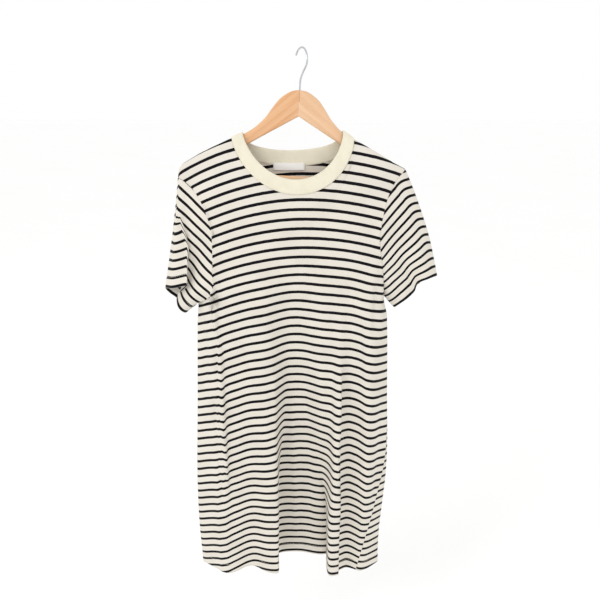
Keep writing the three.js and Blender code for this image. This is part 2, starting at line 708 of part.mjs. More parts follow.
// A closed mesh through rings of points, with flat ends.
function loftGeometry(rings) {
  const wide = rings[0].length;
  const positions = rings.flat().flatMap((p) => [p.x, p.y, p.z]);
  const index = [];
  for (let r = 0; r + 1 < rings.length; r += 1)
    for (let c = 0; c < wide; c += 1) {
      const d = (c + 1) % wide;
      index.push(r * wide + c, r * wide + d, (r + 1) * wide + d);
      index.push(r * wide + c, (r + 1) * wide + d, (r + 1) * wide + c);
    }
  for (const [r, first] of [[0, true], [rings.length - 1, false]]) {
    const centre = positions.length / 3;
    const sum = rings[r].reduce((t, p) => t.add(p), new THREE.Vector3()).divideScalar(wide);
    positions.push(sum.x, sum.y, sum.z);
    for (let c = 0; c < wide; c += 1) {
      const [e, f] = [r * wide + c, r * wide + ((c + 1) % wide)];
      index.push(...(first ? [centre, f, e] : [centre, e, f]));
    }
  }
  const geometry = new THREE.BufferGeometry();
  geometry.setAttribute("position", new THREE.Float32BufferAttribute(positions, 3));
  geometry.setIndex(index);
  return geometry;
}

// A rounded upright section of the arm, once round.
function armSection(x, top, low, thick) {
  const round = Math.min(ARM_ROUND, thick / 2 - 0.2);
  const ring = [];
  const corners = [
    { y: thick / 2 - round, z: top - round, from: 0 },
    { y: -thick / 2 + round, z: top - round, from: 90 },
    { y: -thick / 2 + round, z: low + round, from: 180 },
    { y: thick / 2 - round, z: low + round, from: 270 },
  ];
  for (const { y, z, from } of corners)
    for (const turn of [0, 30, 60, 90]) {
      const angle = THREE.MathUtils.degToRad(from + turn);
      ring.push(new THREE.Vector3(x, y + round * Math.cos(angle), z + round * Math.sin(angle)));
    }
  return ring;
}

function solidOf(geometry) {
  const plain = geometry.clone();
  for (const name of Object.keys(plain.attributes)) if (name !== "position") plain.deleteAttribute(name);
  const merged = mergeVertices(plain, 1e-4);
  const vertProperties = merged.attributes.position.array;
  const made = new wasm.Manifold(
    new wasm.Mesh({ numProp: 3, vertProperties, triVerts: new Uint32Array(merged.index.array) }),
  );
  return made;
}

function geometryOf(solid) {
  const mesh = solid.getMesh();
  const geometry = new THREE.BufferGeometry();
  geometry.setAttribute("position", new THREE.Float32BufferAttribute(mesh.vertProperties, 3));
  geometry.setIndex([...mesh.triVerts]);
  geometry.computeVertexNormals();
  return geometry;
}

// One arm of the hanger, with the half bore of the wire's stem and the socket of the bar.
const BORE_CLEAR = 0.3;
function armGeometry(side) {
  const rings = ARM_OUTLINE.map(({ out, top, low, thick }) =>
    armSection(side * Math.max(out, MITRE_GAP / 2), top, low, thick),
  );
  if (side < 0) rings.reverse();
  const stemBore = new THREE.CylinderGeometry(
    WIRE_RADIUS + BORE_CLEAR,
    WIRE_RADIUS + BORE_CLEAR,
    2 * STEM_DEPTH,
    16,
  );
  stemBore.rotateX(Math.PI / 2).translate(0, 0, ARM_OUTLINE[0].top);
  const socket = new THREE.CylinderGeometry(
    BAR_RADIUS + BORE_CLEAR,
    BAR_RADIUS + BORE_CLEAR,
    2 * (BAR_REACH + BORE_CLEAR),
    24,
  );
  socket.rotateZ(Math.PI / 2).translate(0, 0, BAR_LEVEL);
  return geometryOf(
    solidOf(loftGeometry(rings)).subtract(solidOf(stemBore)).subtract(solidOf(socket)),
  );
}

function barGeometry() {
  const bar = new THREE.CylinderGeometry(BAR_RADIUS, BAR_RADIUS, 2 * BAR_REACH, 24);
  return bar.rotateZ(Math.PI / 2).translate(0, 0, BAR_LEVEL);
}

// The wire: a stem out of the wood, an easy bend to one side and the bow over the rail.
function hookGeometry() {
  const foot = ARM_OUTLINE[0].top - STEM_DEPTH + BORE_CLEAR;
  const points = [{ side: 0, height: foot }, { side: 0, height: -74 }, ...HOOK_STEM];
  const bowSteps = 12;
  for (let i = 0; i <= bowSteps; i += 1) {
    const angle = THREE.MathUtils.degToRad(mix(HOOK_BOW.from, HOOK_BOW.to, i / bowSteps));
    const reach = HOOK_BOW.radius;
    points.push({ side: reach * Math.cos(angle), height: HOOK_BOW.height + reach * Math.sin(angle) });
  }
  const path = new THREE.CatmullRomCurve3(
    points.map(({ side, height }) => new THREE.Vector3(side, 0, height)),
    false,
    "centripetal",
  );
  const section = new THREE.Shape().absarc(0, 0, WIRE_RADIUS, 0, 2 * Math.PI);
  const wire = new THREE.ExtrudeGeometry(section, { steps: 52, curveSegments: 5, extrudePath: path });
  return wire.rotateZ(HOOK_TURN);
}

const paint = (color, roughness, metalness = 0) =>
  new THREE.MeshStandardMaterial({ color, roughness, metalness });
const jersey = paint(0xe6e1d4, 0.92);
const ribKnit = paint(0xf0e9d8, 0.93);
const labelCloth = paint(0xf4f4f2, 0.7);
const wood = paint(0xeab98a, 0.5);
const chrome = paint(0xc9ccd0, 0.2, 1);

function named(name, geometry, material) {
  const mesh = new THREE.Mesh(geometry, material);
  mesh.name = name;
  return mesh;
}

// Every cloth piece with its surface, and where it meets its neighbours.
const frontRows = panelSurface("front");
const backRows = panelSurface("back");
const body = { top: true, sides: true };
const tube = { top: true, sides: false };
const pieces = {
  front: { rows: frontRows, closed: false, turned: false, seams: body },
  back: { rows: backRows, closed: false, turned: true, seams: body },
  sleeve_left: {
    rows: sleeveSurface(armholeRing("left", frontRows, backRows), LEFT_CUFF),
    closed: true,
    turned: false,
    seams: tube,
  },
  sleeve_right: {
    rows: sleeveSurface(armholeRing("right", frontRows, backRows), RIGHT_CUFF),
    closed: true,
    turned: true,
    seams: tube,
  },
  neckband: { rows: bandSurface(frontRows, backRows), closed: true, turned: true, seams: tube },
};
const normalOf = sharedNormals(Object.values(pieces));

// The panels are cut back from slightly thicker copies of the pieces they are sewn to.
const thicknessOf = (name) => (name === "neckband" ? RIB : CLOTH);
const CUT_BACK_FROM = {
  front: ["sleeve_left", "sleeve_right", "neckband", "back"],
  back: ["sleeve_left", "sleeve_right", "neckband"],
};
const CUT_TOLERANCE = 0.02; // edges shorter than this are taken out of a cut piece
function cutBack(geometry, others) {
  let solid = solidOf(geometry);
  for (const name of others) {
    const thick = thicknessOf(name) + 2 * SEAM_GAP;
    solid = solid.subtract(solidOf(wallGeometry({ ...pieces[name], seams: {} }, normalOf, thick)));
  }
  const bodies = solid.decompose().sort((a, b) => b.volume() - a.volume());
  return geometryOf(bodies[0].simplify(CUT_TOLERANCE));
}

const dress = new THREE.Group();
for (const [name, piece] of Object.entries(pieces)) {
  const wall = wallGeometry(piece, normalOf, thicknessOf(name));
  const cut = CUT_BACK_FROM[name] ? cutBack(wall, CUT_BACK_FROM[name]) : wall;
  dress.add(named(name, cut, name === "neckband" ? ribKnit : jersey));
}
const label = { rows: labelSurface(), closed: false, turned: true, seams: {} };
dress.add(named("neck_label", wallGeometry(label, sharedNormals([label]), LABEL), labelCloth));

const hanger = new THREE.Group();
hanger.rotation.y = HANGER_TILT;
hanger.add(
  named("hanger_arm_left", armGeometry(-1), wood),
  named("hanger_arm_right", armGeometry(1), wood),
  named("hanger_bar", barGeometry(), wood),
  named("hanger_hook", hookGeometry(), chrome),
);

const group = new THREE.Group();
group.add(dress, hanger);

export default group;
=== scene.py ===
# %% [markdown]
# # A striped t-shirt dress on a wooden hanger
# The dress is knitted jersey: it has no stiffness of its own, so its shape is the hanger's shoulder
# line and the soft folds that fall from it. The cloth is worked out in millimetres from a few tables
# of named sizes, and becomes metres only when a mesh is made.

import math

import bmesh
import bpy
import numpy as np
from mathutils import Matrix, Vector


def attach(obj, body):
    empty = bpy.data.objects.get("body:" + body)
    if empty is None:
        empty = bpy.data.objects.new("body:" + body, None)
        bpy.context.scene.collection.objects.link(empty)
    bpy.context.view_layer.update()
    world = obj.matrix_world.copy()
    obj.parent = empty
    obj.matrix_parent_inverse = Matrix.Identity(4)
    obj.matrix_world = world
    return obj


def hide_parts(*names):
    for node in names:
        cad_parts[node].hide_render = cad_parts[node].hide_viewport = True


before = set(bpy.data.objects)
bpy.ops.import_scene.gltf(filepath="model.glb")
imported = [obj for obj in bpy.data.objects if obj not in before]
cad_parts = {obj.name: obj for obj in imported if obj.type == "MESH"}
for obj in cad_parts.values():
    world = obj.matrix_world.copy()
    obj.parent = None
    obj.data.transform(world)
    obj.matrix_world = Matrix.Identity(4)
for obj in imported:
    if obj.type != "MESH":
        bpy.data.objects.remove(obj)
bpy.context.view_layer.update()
MM = 0.001
print("frame:", len(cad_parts), "nodes")

# %% [markdown]
# ## Camera
# The picture was taken level with the neck from a metre away, looking down about 18 degrees, so that
# the inside of the back neck shows and the stripes over a deep fold step up. Places are in the frame
# of the solids: x to the right, y away from the viewer, z up.

# %% The camera
PICTURE = 600
FOCAL = 600  # in pixels
LOOK_DOWN = 17.83
eye = bpy.data.cameras.new("camera")
eye.sensor_width = 36
eye.lens = 36 * FOCAL / PICTURE
camera = bpy.data.objects.new("camera", eye)
camera.location = (-2.7 * MM, -1096 * MM, -94.5 * MM)
camera.rotation_euler = (math.radians(90 - LOOK_DOWN), 0, 0)
bpy.context.scene.collection.objects.link(camera)
bpy.context.scene.camera = camera
print("camera lens", eye.lens)

# %% [markdown]
# ## Reading a table
# Each table has named columns. A value between two rows is read along a smooth curve, so a handful
# of rows is enough for a silhouette.


# %% Table reader
def look_up(table, key, name, at):
    """One column of a table at a key, smoothly between the rows."""
    keys = np.array(table[key], float)
    values = np.array(table[name], float)
    if keys[0] > keys[-1]:
        keys, values = keys[::-1], values[::-1]
    ends = np.concatenate([[values[0]], values, [values[-1]]])
    places = np.concatenate([[keys[0]], keys, [keys[-1]]])
    slopes = (ends[2:] - ends[:-2]) / (places[2:] - places[:-2])
    place = np.clip(at, keys[0], keys[-1])
    i = np.clip(np.searchsorted(keys, place, side="right") - 1, 0, len(keys) - 2)
    span = keys[i + 1] - keys[i]
    t = (place - keys[i]) / span
    rise = values[i + 1] - values[i]
    bend_a = span * slopes[i] - rise
    bend_b = rise - span * slopes[i + 1]
    return values[i] + t * rise + t * (1 - t) * ((1 - t) * bend_a + t * bend_b)


def smooth(t):
    s = np.clip(t, 0, 1)
    return s * s * (3 - 2 * s)


def mix(a, b, t):
    return a + (b - a) * t


print("smooth(0.25) is", smooth(0.25))

# %% [markdown]
# ## The hanger's outline
# Two flat arms meet in a mitre under the hook and widen towards their ends. The same outline gives
# the shoulder line that the cloth hangs from. The whole hanger hangs a little low on the right.

# %% Hanger sizes
ARM = {
    "out": [0, 12, 22, 34.5, 46, 56.5, 65, 76, 90, 105, 122, 150, 164, 174, 181, 184],
    "top": [-66.6, -68.6, -73.5, -83, -97.6, -112.5, -121.8, -131.8, -141, -148.8, -157, -171.4,
            -178.7, -184.2, -189.5, -194],
    "low": [-110.7, -117.5, -123.3, -130.5, -137, -143.2, -148, -154.5, -162.5, -171.5, -183, -207,
            -224, -225, -219, -211],
    "thick": [12, 12, 12, 12, 12, 12, 12, 12, 12, 12, 12, 13, 14, 12, 9, 6],
}
TILT = math.radians(2.65)
SHOULDER_LIFT = 2.45  # the middle of the cloth over the top of the wood
TIP_LEVEL = -206
UNDERARM_LEVEL = -443.6
CLOTH_LEAN = 0.033
PAST = {
    "left": [(-212, -190.6), (-219, -199), (-221.7, -213.3)],
    "right": [(185.4, -199.9)],
}


def tilted(across, height):
    c, s = math.cos(TILT), math.sin(TILT)
    return across * c + height * s, height * c - across * s


def shoulder_line(side):
    sign = -1 if side == "left" else 1
    points = []
    for out, top in zip(ARM["out"], ARM["top"]):
        if 60 < out < 178:
            across, height = tilted(sign * out, top)
            points.append((across, height + SHOULDER_LIFT))
    return np.array(points + PAST[side])


SHOULDER = {side: shoulder_line(side) for side in ("left", "right")}
print("shoulder span", SHOULDER["right"][-1, 0] - SHOULDER["left"][-1, 0])

# %% [markdown]
# ## The dress's silhouette, folds and seams
# The body hangs as a flattened tube. Its width comes from the silhouette, its depth from the folds:
# a deep recess at the middle of the skirt between two lobes, and long soft swells at the sides.

# %% Silhouette, seams and folds
BODY = {
    "level": [-206, -300, -380, -443.6, -486, -657, -806, -895, -972, -1060],
    "left": [-262, -228, -208, -197.7, -201, -210, -218.4, -221, -220.6, -217],
    "right": [250, 205, 178, 158, 165.3, 173, 179.5, 175, 169.4, 169.4],
    "front": [25] * 10,
    "back": [17, 18, 20, 21, 22, 25, 28, 30, 32, 33],
    "corner": [50, 50, 46, 46, 46, 46, 46, 46, 46, 46],
}
ARMHOLE = {
    "level": [-206, -216, -230, -250, -275, -305, -340, -380, -410, -430, -443.6],
    "left": [-221.7, -206.5, -193, -180.5, -170.3, -163.6, -163, -163.6, -164.5, -173, -197.7],
    "right": [185.4, 176, 166, 156, 148.8, 144.4, 143.3, 149.5, 153.5, 155.6, 158],
    "back_out": [0, 3, 6, 8, 8, 8, 8, 6, 3, 1, 0],
}
SIDE_SEAM = {"level": [-700, -800, -900, -1060], "forward": [0, 12, 34, 66]}
RECESS = {
    "level": [-350, -433, -608, -783, -900, -1050],
    "left": [-45, -45, -40, -47, -49, -50],
    "left_soft": [30, 28, 15, 8, 7, 7],
    "right": [20, 16, 36, 53, 57, 58],
    "right_soft": [30, 28, 48, 22, 10, 7],
    "depth": [0, 12, 25, 34, 38, 40],
}
# name: chest, hem, reach left, reach right, out at chest, hip and hem
FOLDS = {
    "front": {
        "left edge": (-166, -160, 26, 9, 7, 8, 3),
        "left swell": (-148, -151, 26, 26, 0, 3, 9),
        "left trough": (-115, -108, 24, 20, 0, 0, -4),
        "left lobe": (-76, -62, 26, 18, 3, 14, 18),
        "recess slope": (36, 38, 26, 15, 1, 9, 8),
        "small lobe": (76, 70, 9, 17, 0, 15, 27),
        "right trough": (92, 101, 16, 18, -3, -6, -2),
        "right swell": (146, 136, 28, 28, 17, 22, 13),
    },
    "back": {
        "left wave": (-128, -136, 34, 30, 3, 9, 13),
        "left trough": (-78, -84, 26, 24, 0, -3, -6),
        "middle wave": (-24, -18, 34, 38, 4, 8, 10),
        "right trough": (42, 46, 24, 26, -1, -2, -4),
        "right wave": (98, 104, 32, 26, 2, 10, 14),
    },
}
CHEST, HEM = -433, -1050
FOLD_LEVELS = [-330, CHEST, -783, HEM]
HEM_LINE = {
    "across": [-217, -148, -113, -63, -42, 40, 70, 120, 169],
    "height": [-1055, -1058, -1050, -1053, -1046, -1045, -1049, -1052, -1054],
}
BACK_HEM_DROP = 16
print("folds:", sum(len(f) for f in FOLDS.values()))


# %% [markdown]
# ## How deep the body hangs
# Cloth over a hanger is thin at the shoulder line and opens downwards. The depth could be sculpted;
# here it is a formula of the place, so that front, back and neckband all agree about it. Three things
# multiply: the plain depth with its folds, the rounding at the sides, and the fall from the shoulder.

# %% Depth of the body's two faces
SHOULDER_ROUND, SHOULDER_FALL = 11, 90
SIDE_ROUNDNESS = 0.45


def below_shoulder(x, z):
    """Distance from the shoulder line, seen from the front."""
    best = np.full(np.shape(x), np.inf)
    for line in SHOULDER.values():
        for (ax, az), (bx, bz) in zip(line[:-1], line[1:]):
            dx, dz = bx - ax, bz - az
            t = np.clip(((x - ax) * dx + (z - az) * dz) / (dx * dx + dz * dz), 0, 1)
            best = np.minimum(best, np.hypot(x - ax - t * dx, z - az - t * dz))
    return best


def shoulder_share(x, z, depth):
    """Share of its full depth that a panel has reached near the shoulder."""
    below = below_shoulder(x, z)
    turn = np.minimum(below / SHOULDER_ROUND, 1)
    rounding = SHOULDER_ROUND * np.sqrt(1 - (1 - turn) ** 2)
    fall = smooth((below - SHOULDER_ROUND) / (SHOULDER_FALL - SHOULDER_ROUND))
    return np.minimum(1, (rounding + np.maximum(depth - SHOULDER_ROUND, 0) * fall) / depth)


def folds_at(face, x, level):
    down = np.clip((CHEST - level) / (CHEST - HEM), 0, 1)
    total = np.zeros(np.shape(x))
    for chest, hem, left, right, *out in FOLDS[face].values():
        middle = mix(chest, hem, down)
        reach = np.where(x < middle, left, right)
        stands = look_up({"level": FOLD_LEVELS, "out": [0, *out]}, "level", "out", level)
        total = total + stands * np.exp(-(((x - middle) / reach) ** 2))
    if face == "front":
        row = {name: look_up(RECESS, "level", name, level) for name in RECESS if name != "level"}
        in_left = smooth((x - row["left"]) / row["left_soft"] / 2 + 0.5)
        in_right = smooth((x - row["right"]) / row["right_soft"] / 2 + 0.5)
        total = total - row["depth"] * (in_left - in_right)
    return total


def face_depth(face, x, level):
    depth = look_up(BODY, "level", face, level)
    corner = look_up(BODY, "level", "corner", level)
    to_left = (x - look_up(BODY, "level", "left", level)) / corner
    to_right = (look_up(BODY, "level", "right", level) - x) / corner
    away = 1 - np.clip(np.minimum(to_left, to_right), 0, 1)
    full = mix(1 - away, np.sqrt(1 - away**2), SIDE_ROUNDNESS)
    out = (depth + folds_at(face, x, level)) * full
    sign = -1 if face == "front" else 1
    return sign * out * shoulder_share(x, level + CLOTH_LEAN * x, depth)


print("front depth at the hip:", face_depth("front", np.array([-60.0]), np.array([-800.0])))

# %% [markdown]
# ## Sections of even length
# Cloth doesn't stretch into a fold, so columns of the mesh are spaced evenly along each level
# section and not evenly across. The sections are worked out once on a ladder of levels.

# %% Section ladder
LADDER_STEP = 3.0
LADDER = np.arange(-125.0, -1092.0, -LADDER_STEP)
SAMPLES = 420


def section_ladder(face):
    left = look_up(BODY, "level", "left", LADDER)[:, None]
    right = look_up(BODY, "level", "right", LADDER)[:, None]
    x = mix(left, right, np.linspace(0, 1, SAMPLES)[None, :])
    y = face_depth(face, x, np.broadcast_to(LADDER[:, None], x.shape))
    step = np.hypot(np.diff(x, axis=1), np.diff(y, axis=1))
    along = np.concatenate([np.zeros((len(LADDER), 1)), np.cumsum(step, axis=1)], axis=1)
    total = along[:, -1]
    shares = np.linspace(0, 1, SAMPLES)
    even_x = np.array([np.interp(shares * total[i], along[i], x[i]) for i in range(len(LADDER))])
    return {"x": x, "along": along, "total": total, "even_x": even_x}


SECTIONS = {face: section_ladder(face) for face in ("front", "back")}


def on_ladder(values, level):
    return np.interp(-level, -LADDER, values)


def x_along(face, level, along):
    """Place across of a point by its distance along the section."""
    ladder = SECTIONS[face]
    share = np.clip(along / on_ladder(ladder["total"], level), 0, 1) * (SAMPLES - 1)
    row = np.clip((LADDER[0] - level) / LADDER_STEP, 0, len(LADDER) - 1.001)
    i, j = row.astype(int), np.minimum(share.astype(int), SAMPLES - 2)
    t, u = row - i, share - j
    grid = ladder["even_x"]
    upper = mix(grid[i, j], grid[i, j + 1], u)
    return mix(upper, mix(grid[i + 1, j], grid[i + 1, j + 1], u), t)


print("section at the hem:", round(float(SECTIONS["front"]["total"][-10])), "mm")

# %% [markdown]
# ## Seam lines
# The neck seam is a deep U in front and a shallow one behind. From its ends the panels follow the
# shoulder line to the tip and then the armhole down to the underarm.

# %% Seam lines
NECK_SHARE, TIP_SHARE = 0.38, 0.68
NECK = {
    "outer": {"half": 107, "front": 96, "back": 50},
    "inner": {"half": 87.5, "front": 80, "back": 33},
}
NECK_ACROSS, NECK_SWING = -15.6, 7.4
NECK_BEND = {"front": 1.2, "back": 0.8}


def by_level(side):
    line = SHOULDER[side]
    return {"across": line[:, 0], "height": line[:, 1], "level": line[:, 1] - CLOTH_LEAN * line[:, 0]}


SHOULDER_LEVELS = {side: by_level(side) for side in SHOULDER}


def along_shoulder(side, key, at, name):
    line = SHOULDER_LEVELS[side]
    keys, values = line[key], line[name]
    order = slice(None, None, -1) if keys[-1] < keys[0] else slice(None)
    return np.interp(at, keys[order], values[order])


def neck_point(edge, face, angle):
    size = NECK[edge]
    low = np.maximum(np.cos(angle), 0)
    left_top = along_shoulder("left", "across", NECK_ACROSS - size["half"], "height")
    right_top = along_shoulder("right", "across", NECK_ACROSS + size["half"], "height")
    swing = NECK_SWING * low if face == "front" else 0
    x = NECK_ACROSS + swing + size["half"] * np.sin(angle)
    z = mix(left_top, right_top, (np.sin(angle) + 1) / 2) - size[face] * low ** NECK_BEND[face]
    return x, z


NECK_LEVEL = {}
for side, turn in (("left", -1), ("right", 1)):
    top_x, top_z = neck_point("outer", "front", turn * math.pi / 2)
    NECK_LEVEL[side] = float(top_z - CLOTH_LEAN * top_x)

CROWD_SHARES = np.linspace(0, 1, 400)
CROWD = (smooth(CROWD_SHARES) + 1 - (1 - CROWD_SHARES) ** 1.5) / 2


def level_at_share(side, share):
    to_tip = mix(NECK_LEVEL[side], TIP_LEVEL, (share - NECK_SHARE) / (TIP_SHARE - NECK_SHARE))
    past = np.interp((share - TIP_SHARE) / (1 - TIP_SHARE), CROWD_SHARES, CROWD)
    return np.where(share <= TIP_SHARE, to_tip, mix(TIP_LEVEL, UNDERARM_LEVEL, past))


def share_at_level(side, level):
    top = NECK_LEVEL[side]
    near = mix(NECK_SHARE, TIP_SHARE, np.maximum(0, (level - top) / (TIP_LEVEL - top)))
    down = np.clip((level - TIP_LEVEL) / (UNDERARM_LEVEL - TIP_LEVEL), 0, 1)
    far = mix(TIP_SHARE, 1, np.interp(down, CROWD, CROWD_SHARES))
    return np.where(level >= TIP_LEVEL, near, far)


def edge_across(side, face, level):
    on_top = along_shoulder(side, "level", level, "across")
    out = look_up(ARMHOLE, "level", "back_out", level) if face == "back" else 0
    seam = look_up(ARMHOLE, "level", side, level) + (-out if side == "left" else out)
    return np.where(level >= TIP_LEVEL, on_top, seam)


print("neck at the shoulders:", {side: round(level) for side, level in NECK_LEVEL.items()})


# %% [markdown]
# ## A point of a panel
# Every point is found from two numbers: its level, and its share of the way from the middle to the
# panel's edge. The share is measured along the section, so a point that is sewn to the side seam stays
# on it. Below the hip the front reaches past the silhouette's right edge and the back gives way.

# %% A point of a panel by its share of the half width and its level
def panel_edges(face):
    """Distance along the section to a panel's two edges, on the ladder of levels."""
    ladder = SECTIONS[face]
    start, end = np.zeros(len(LADDER)), ladder["total"].copy()
    forward = look_up(SIDE_SEAM, "level", "forward", LADDER)
    left, right = edge_across("left", face, LADDER), edge_across("right", face, LADDER)
    for i, level in enumerate(LADDER):
        if level > UNDERARM_LEVEL:
            start[i] = np.interp(left[i], ladder["x"][i], ladder["along"][i])
            end[i] = np.interp(right[i], ladder["x"][i], ladder["along"][i])
        else:
            end[i] += -forward[i] if face == "front" else forward[i]
    return start, end


EDGES = {face: panel_edges(face) for face in ("front", "back")}


def panel_point(face, share, level, shift=0.0):
    start, end = (on_ladder(e, level) for e in EDGES[face])
    total = on_ladder(SECTIONS[face]["total"], level)
    full = np.where(share < 0, share_at_level("left", level), share_at_level("right", level))
    reach = np.minimum(np.abs(share) / full, 1)
    along = mix((start + end) / 2, np.where(share < 0, start, end), reach) + shift
    x = x_along(face, level, along)
    y = face_depth(face, x, level)
    if face == "back":
        wrap_x = x_along("front", level, on_ladder(SECTIONS["front"]["total"], level) - (along - total))
        wraps = along > total
        x = np.where(wraps, wrap_x, x)
        y = np.where(wraps, face_depth("front", wrap_x, level), y)
    on_seam = (level >= TIP_LEVEL) & (np.abs(share) >= NECK_SHARE) & (reach >= 1)
    return x, np.where(on_seam, 0, y), level + CLOTH_LEAN * x


print("a point of the front:", [float(v) for v in panel_point("front", np.array(0.2), np.array(-500.0))])

# %% [markdown]
# ## The two big panels
# Front and back are meshes whose columns start on the upper edge and run to the hem. Rows are close
# together at the top, where the cloth turns over the wood.

# %% Panel grids
NECK_COLUMNS, SHOULDER_COLUMNS, ARMHOLE_COLUMNS = 84, 24, 40
PANEL_ROWS = 230
NECK_CROWD = 1.8
NECK_SHIFT_FADE = 150


def neck_angle(share):
    return np.pi / 2 * np.sign(share) * (1 - (1 - np.abs(share)) ** NECK_CROWD)


def panel_columns():
    rising = np.concatenate([
        np.linspace(0, NECK_SHARE, NECK_COLUMNS // 2 + 1),
        np.linspace(NECK_SHARE, TIP_SHARE, SHOULDER_COLUMNS + 1)[1:],
        np.linspace(TIP_SHARE, 1, ARMHOLE_COLUMNS + 1)[1:],
    ])
    return np.concatenate([-rising[:0:-1], rising])


COLUMNS = panel_columns()


def hem_level(face):
    def below(x):
        return look_up(HEM_LINE, "across", "height", x) - CLOTH_LEAN * x

    level = np.full(len(COLUMNS), float(HEM))
    left_hem = below(np.array([HEM_LINE["across"][0]]))[0]
    right_hem = below(panel_point("front", np.array([1.0]), np.array([float(HEM)]))[0])[0]
    if face == "back":
        drop = BACK_HEM_DROP * (1 - COLUMNS**2)
        return mix(left_hem, right_hem, (COLUMNS + 1) / 2) - drop
    level = below(panel_point(face, COLUMNS, level)[0])
    level[0], level[-1] = left_hem, right_hem
    return level


ROW_CROWD = 1.3


def panel_grid(face):
    """Rows from the upper edge to the hem, each from left to right."""
    size = np.abs(COLUMNS)
    side_level = np.where(COLUMNS < 0, level_at_share("left", size), level_at_share("right", size))
    neck_x, neck_z = neck_point("outer", face, neck_angle(np.clip(COLUMNS / NECK_SHARE, -1, 1)))
    at_neck = size < NECK_SHARE
    top = np.where(at_neck, neck_z - CLOTH_LEAN * neck_x, side_level)
    shift = np.where(at_neck, neck_x - panel_point(face, COLUMNS, top)[0], 0)
    down = (np.arange(PANEL_ROWS + 1) / PANEL_ROWS) ** ROW_CROWD
    level = top[None, :] + (hem_level(face) - top)[None, :] * down[:, None]
    fade = 1 - smooth((top[None, :] - level) / NECK_SHIFT_FADE)
    share = np.broadcast_to(COLUMNS[None, :], level.shape)
    x, y, z = panel_point(face, share, level, shift[None, :] * fade)
    return np.stack([x, y, z], axis=-1), level


RELAX_ROUNDS, CALM_ROUNDS, RELAX_SHARE = 60, 40, 0.8
CALM_START, CALM_END = 16, 30  # distance from the panel's upper edge
CALM_LEVELS = (-300, -420)


def between_neighbours(grid):
    return sum(np.roll(grid, step, axis) for step in (-1, 1) for axis in (0, 1)) / 4


def relaxed(grid):
    """Evens out the mesh wherever cells turn over, as they would at a tight underarm."""
    for _ in range(RELAX_ROUNDS):
        turn = np.cross(grid[:-1, 1:] - grid[:-1, :-1], grid[1:, :-1] - grid[:-1, :-1])
        around = sum(np.roll(np.roll(turn, r, 0), c, 1) for r in (-3, 0, 3) for c in (-3, 0, 3))
        folded = np.sum(turn * around, axis=-1) <= 0
        folded[:2] = folded[-2:] = False
        near = np.zeros(grid.shape[:2], bool)
        for r, c in np.argwhere(folded):
            near[max(r - 3, 1):r + 5, max(c - 3, 1):c + 5] = True
        near[0] = near[-1] = near[:, 0] = near[:, -1] = False
        grid = np.where(near[..., None], mix(grid, between_neighbours(grid), RELAX_SHARE), grid)
    return grid


def calmed(grid, level):
    """Softens the ridge below the shoulder where the falls from two parts of its line meet."""
    from_top = np.linalg.norm(grid - grid[:1], axis=-1)
    high, low = CALM_LEVELS
    weight = smooth((from_top - CALM_START) / (CALM_END - CALM_START)) * smooth((level - low) / (high - low))
    weight[-1] = weight[:, 0] = weight[:, -1] = 0
    for _ in range(CALM_ROUNDS):
        grid = mix(grid, between_neighbours(grid), RELAX_SHARE * weight[..., None])
    return grid


def even_panel(face):
    grid, level = panel_grid(face)
    return calmed(relaxed(grid), level), level


GRIDS = {face: even_panel(face) for face in ("front", "back")}
print("front grid:", GRIDS["front"][0].shape)

# %% [markdown]
# ## Small creases
# The big folds are in the section tables. What is left to the fine mesh are the small creases of
# thin jersey: short pulls under the arms and from the shoulders, and the soft unevenness along every
# fold. Each crease is a line with a width and a height; a trough has a negative height.

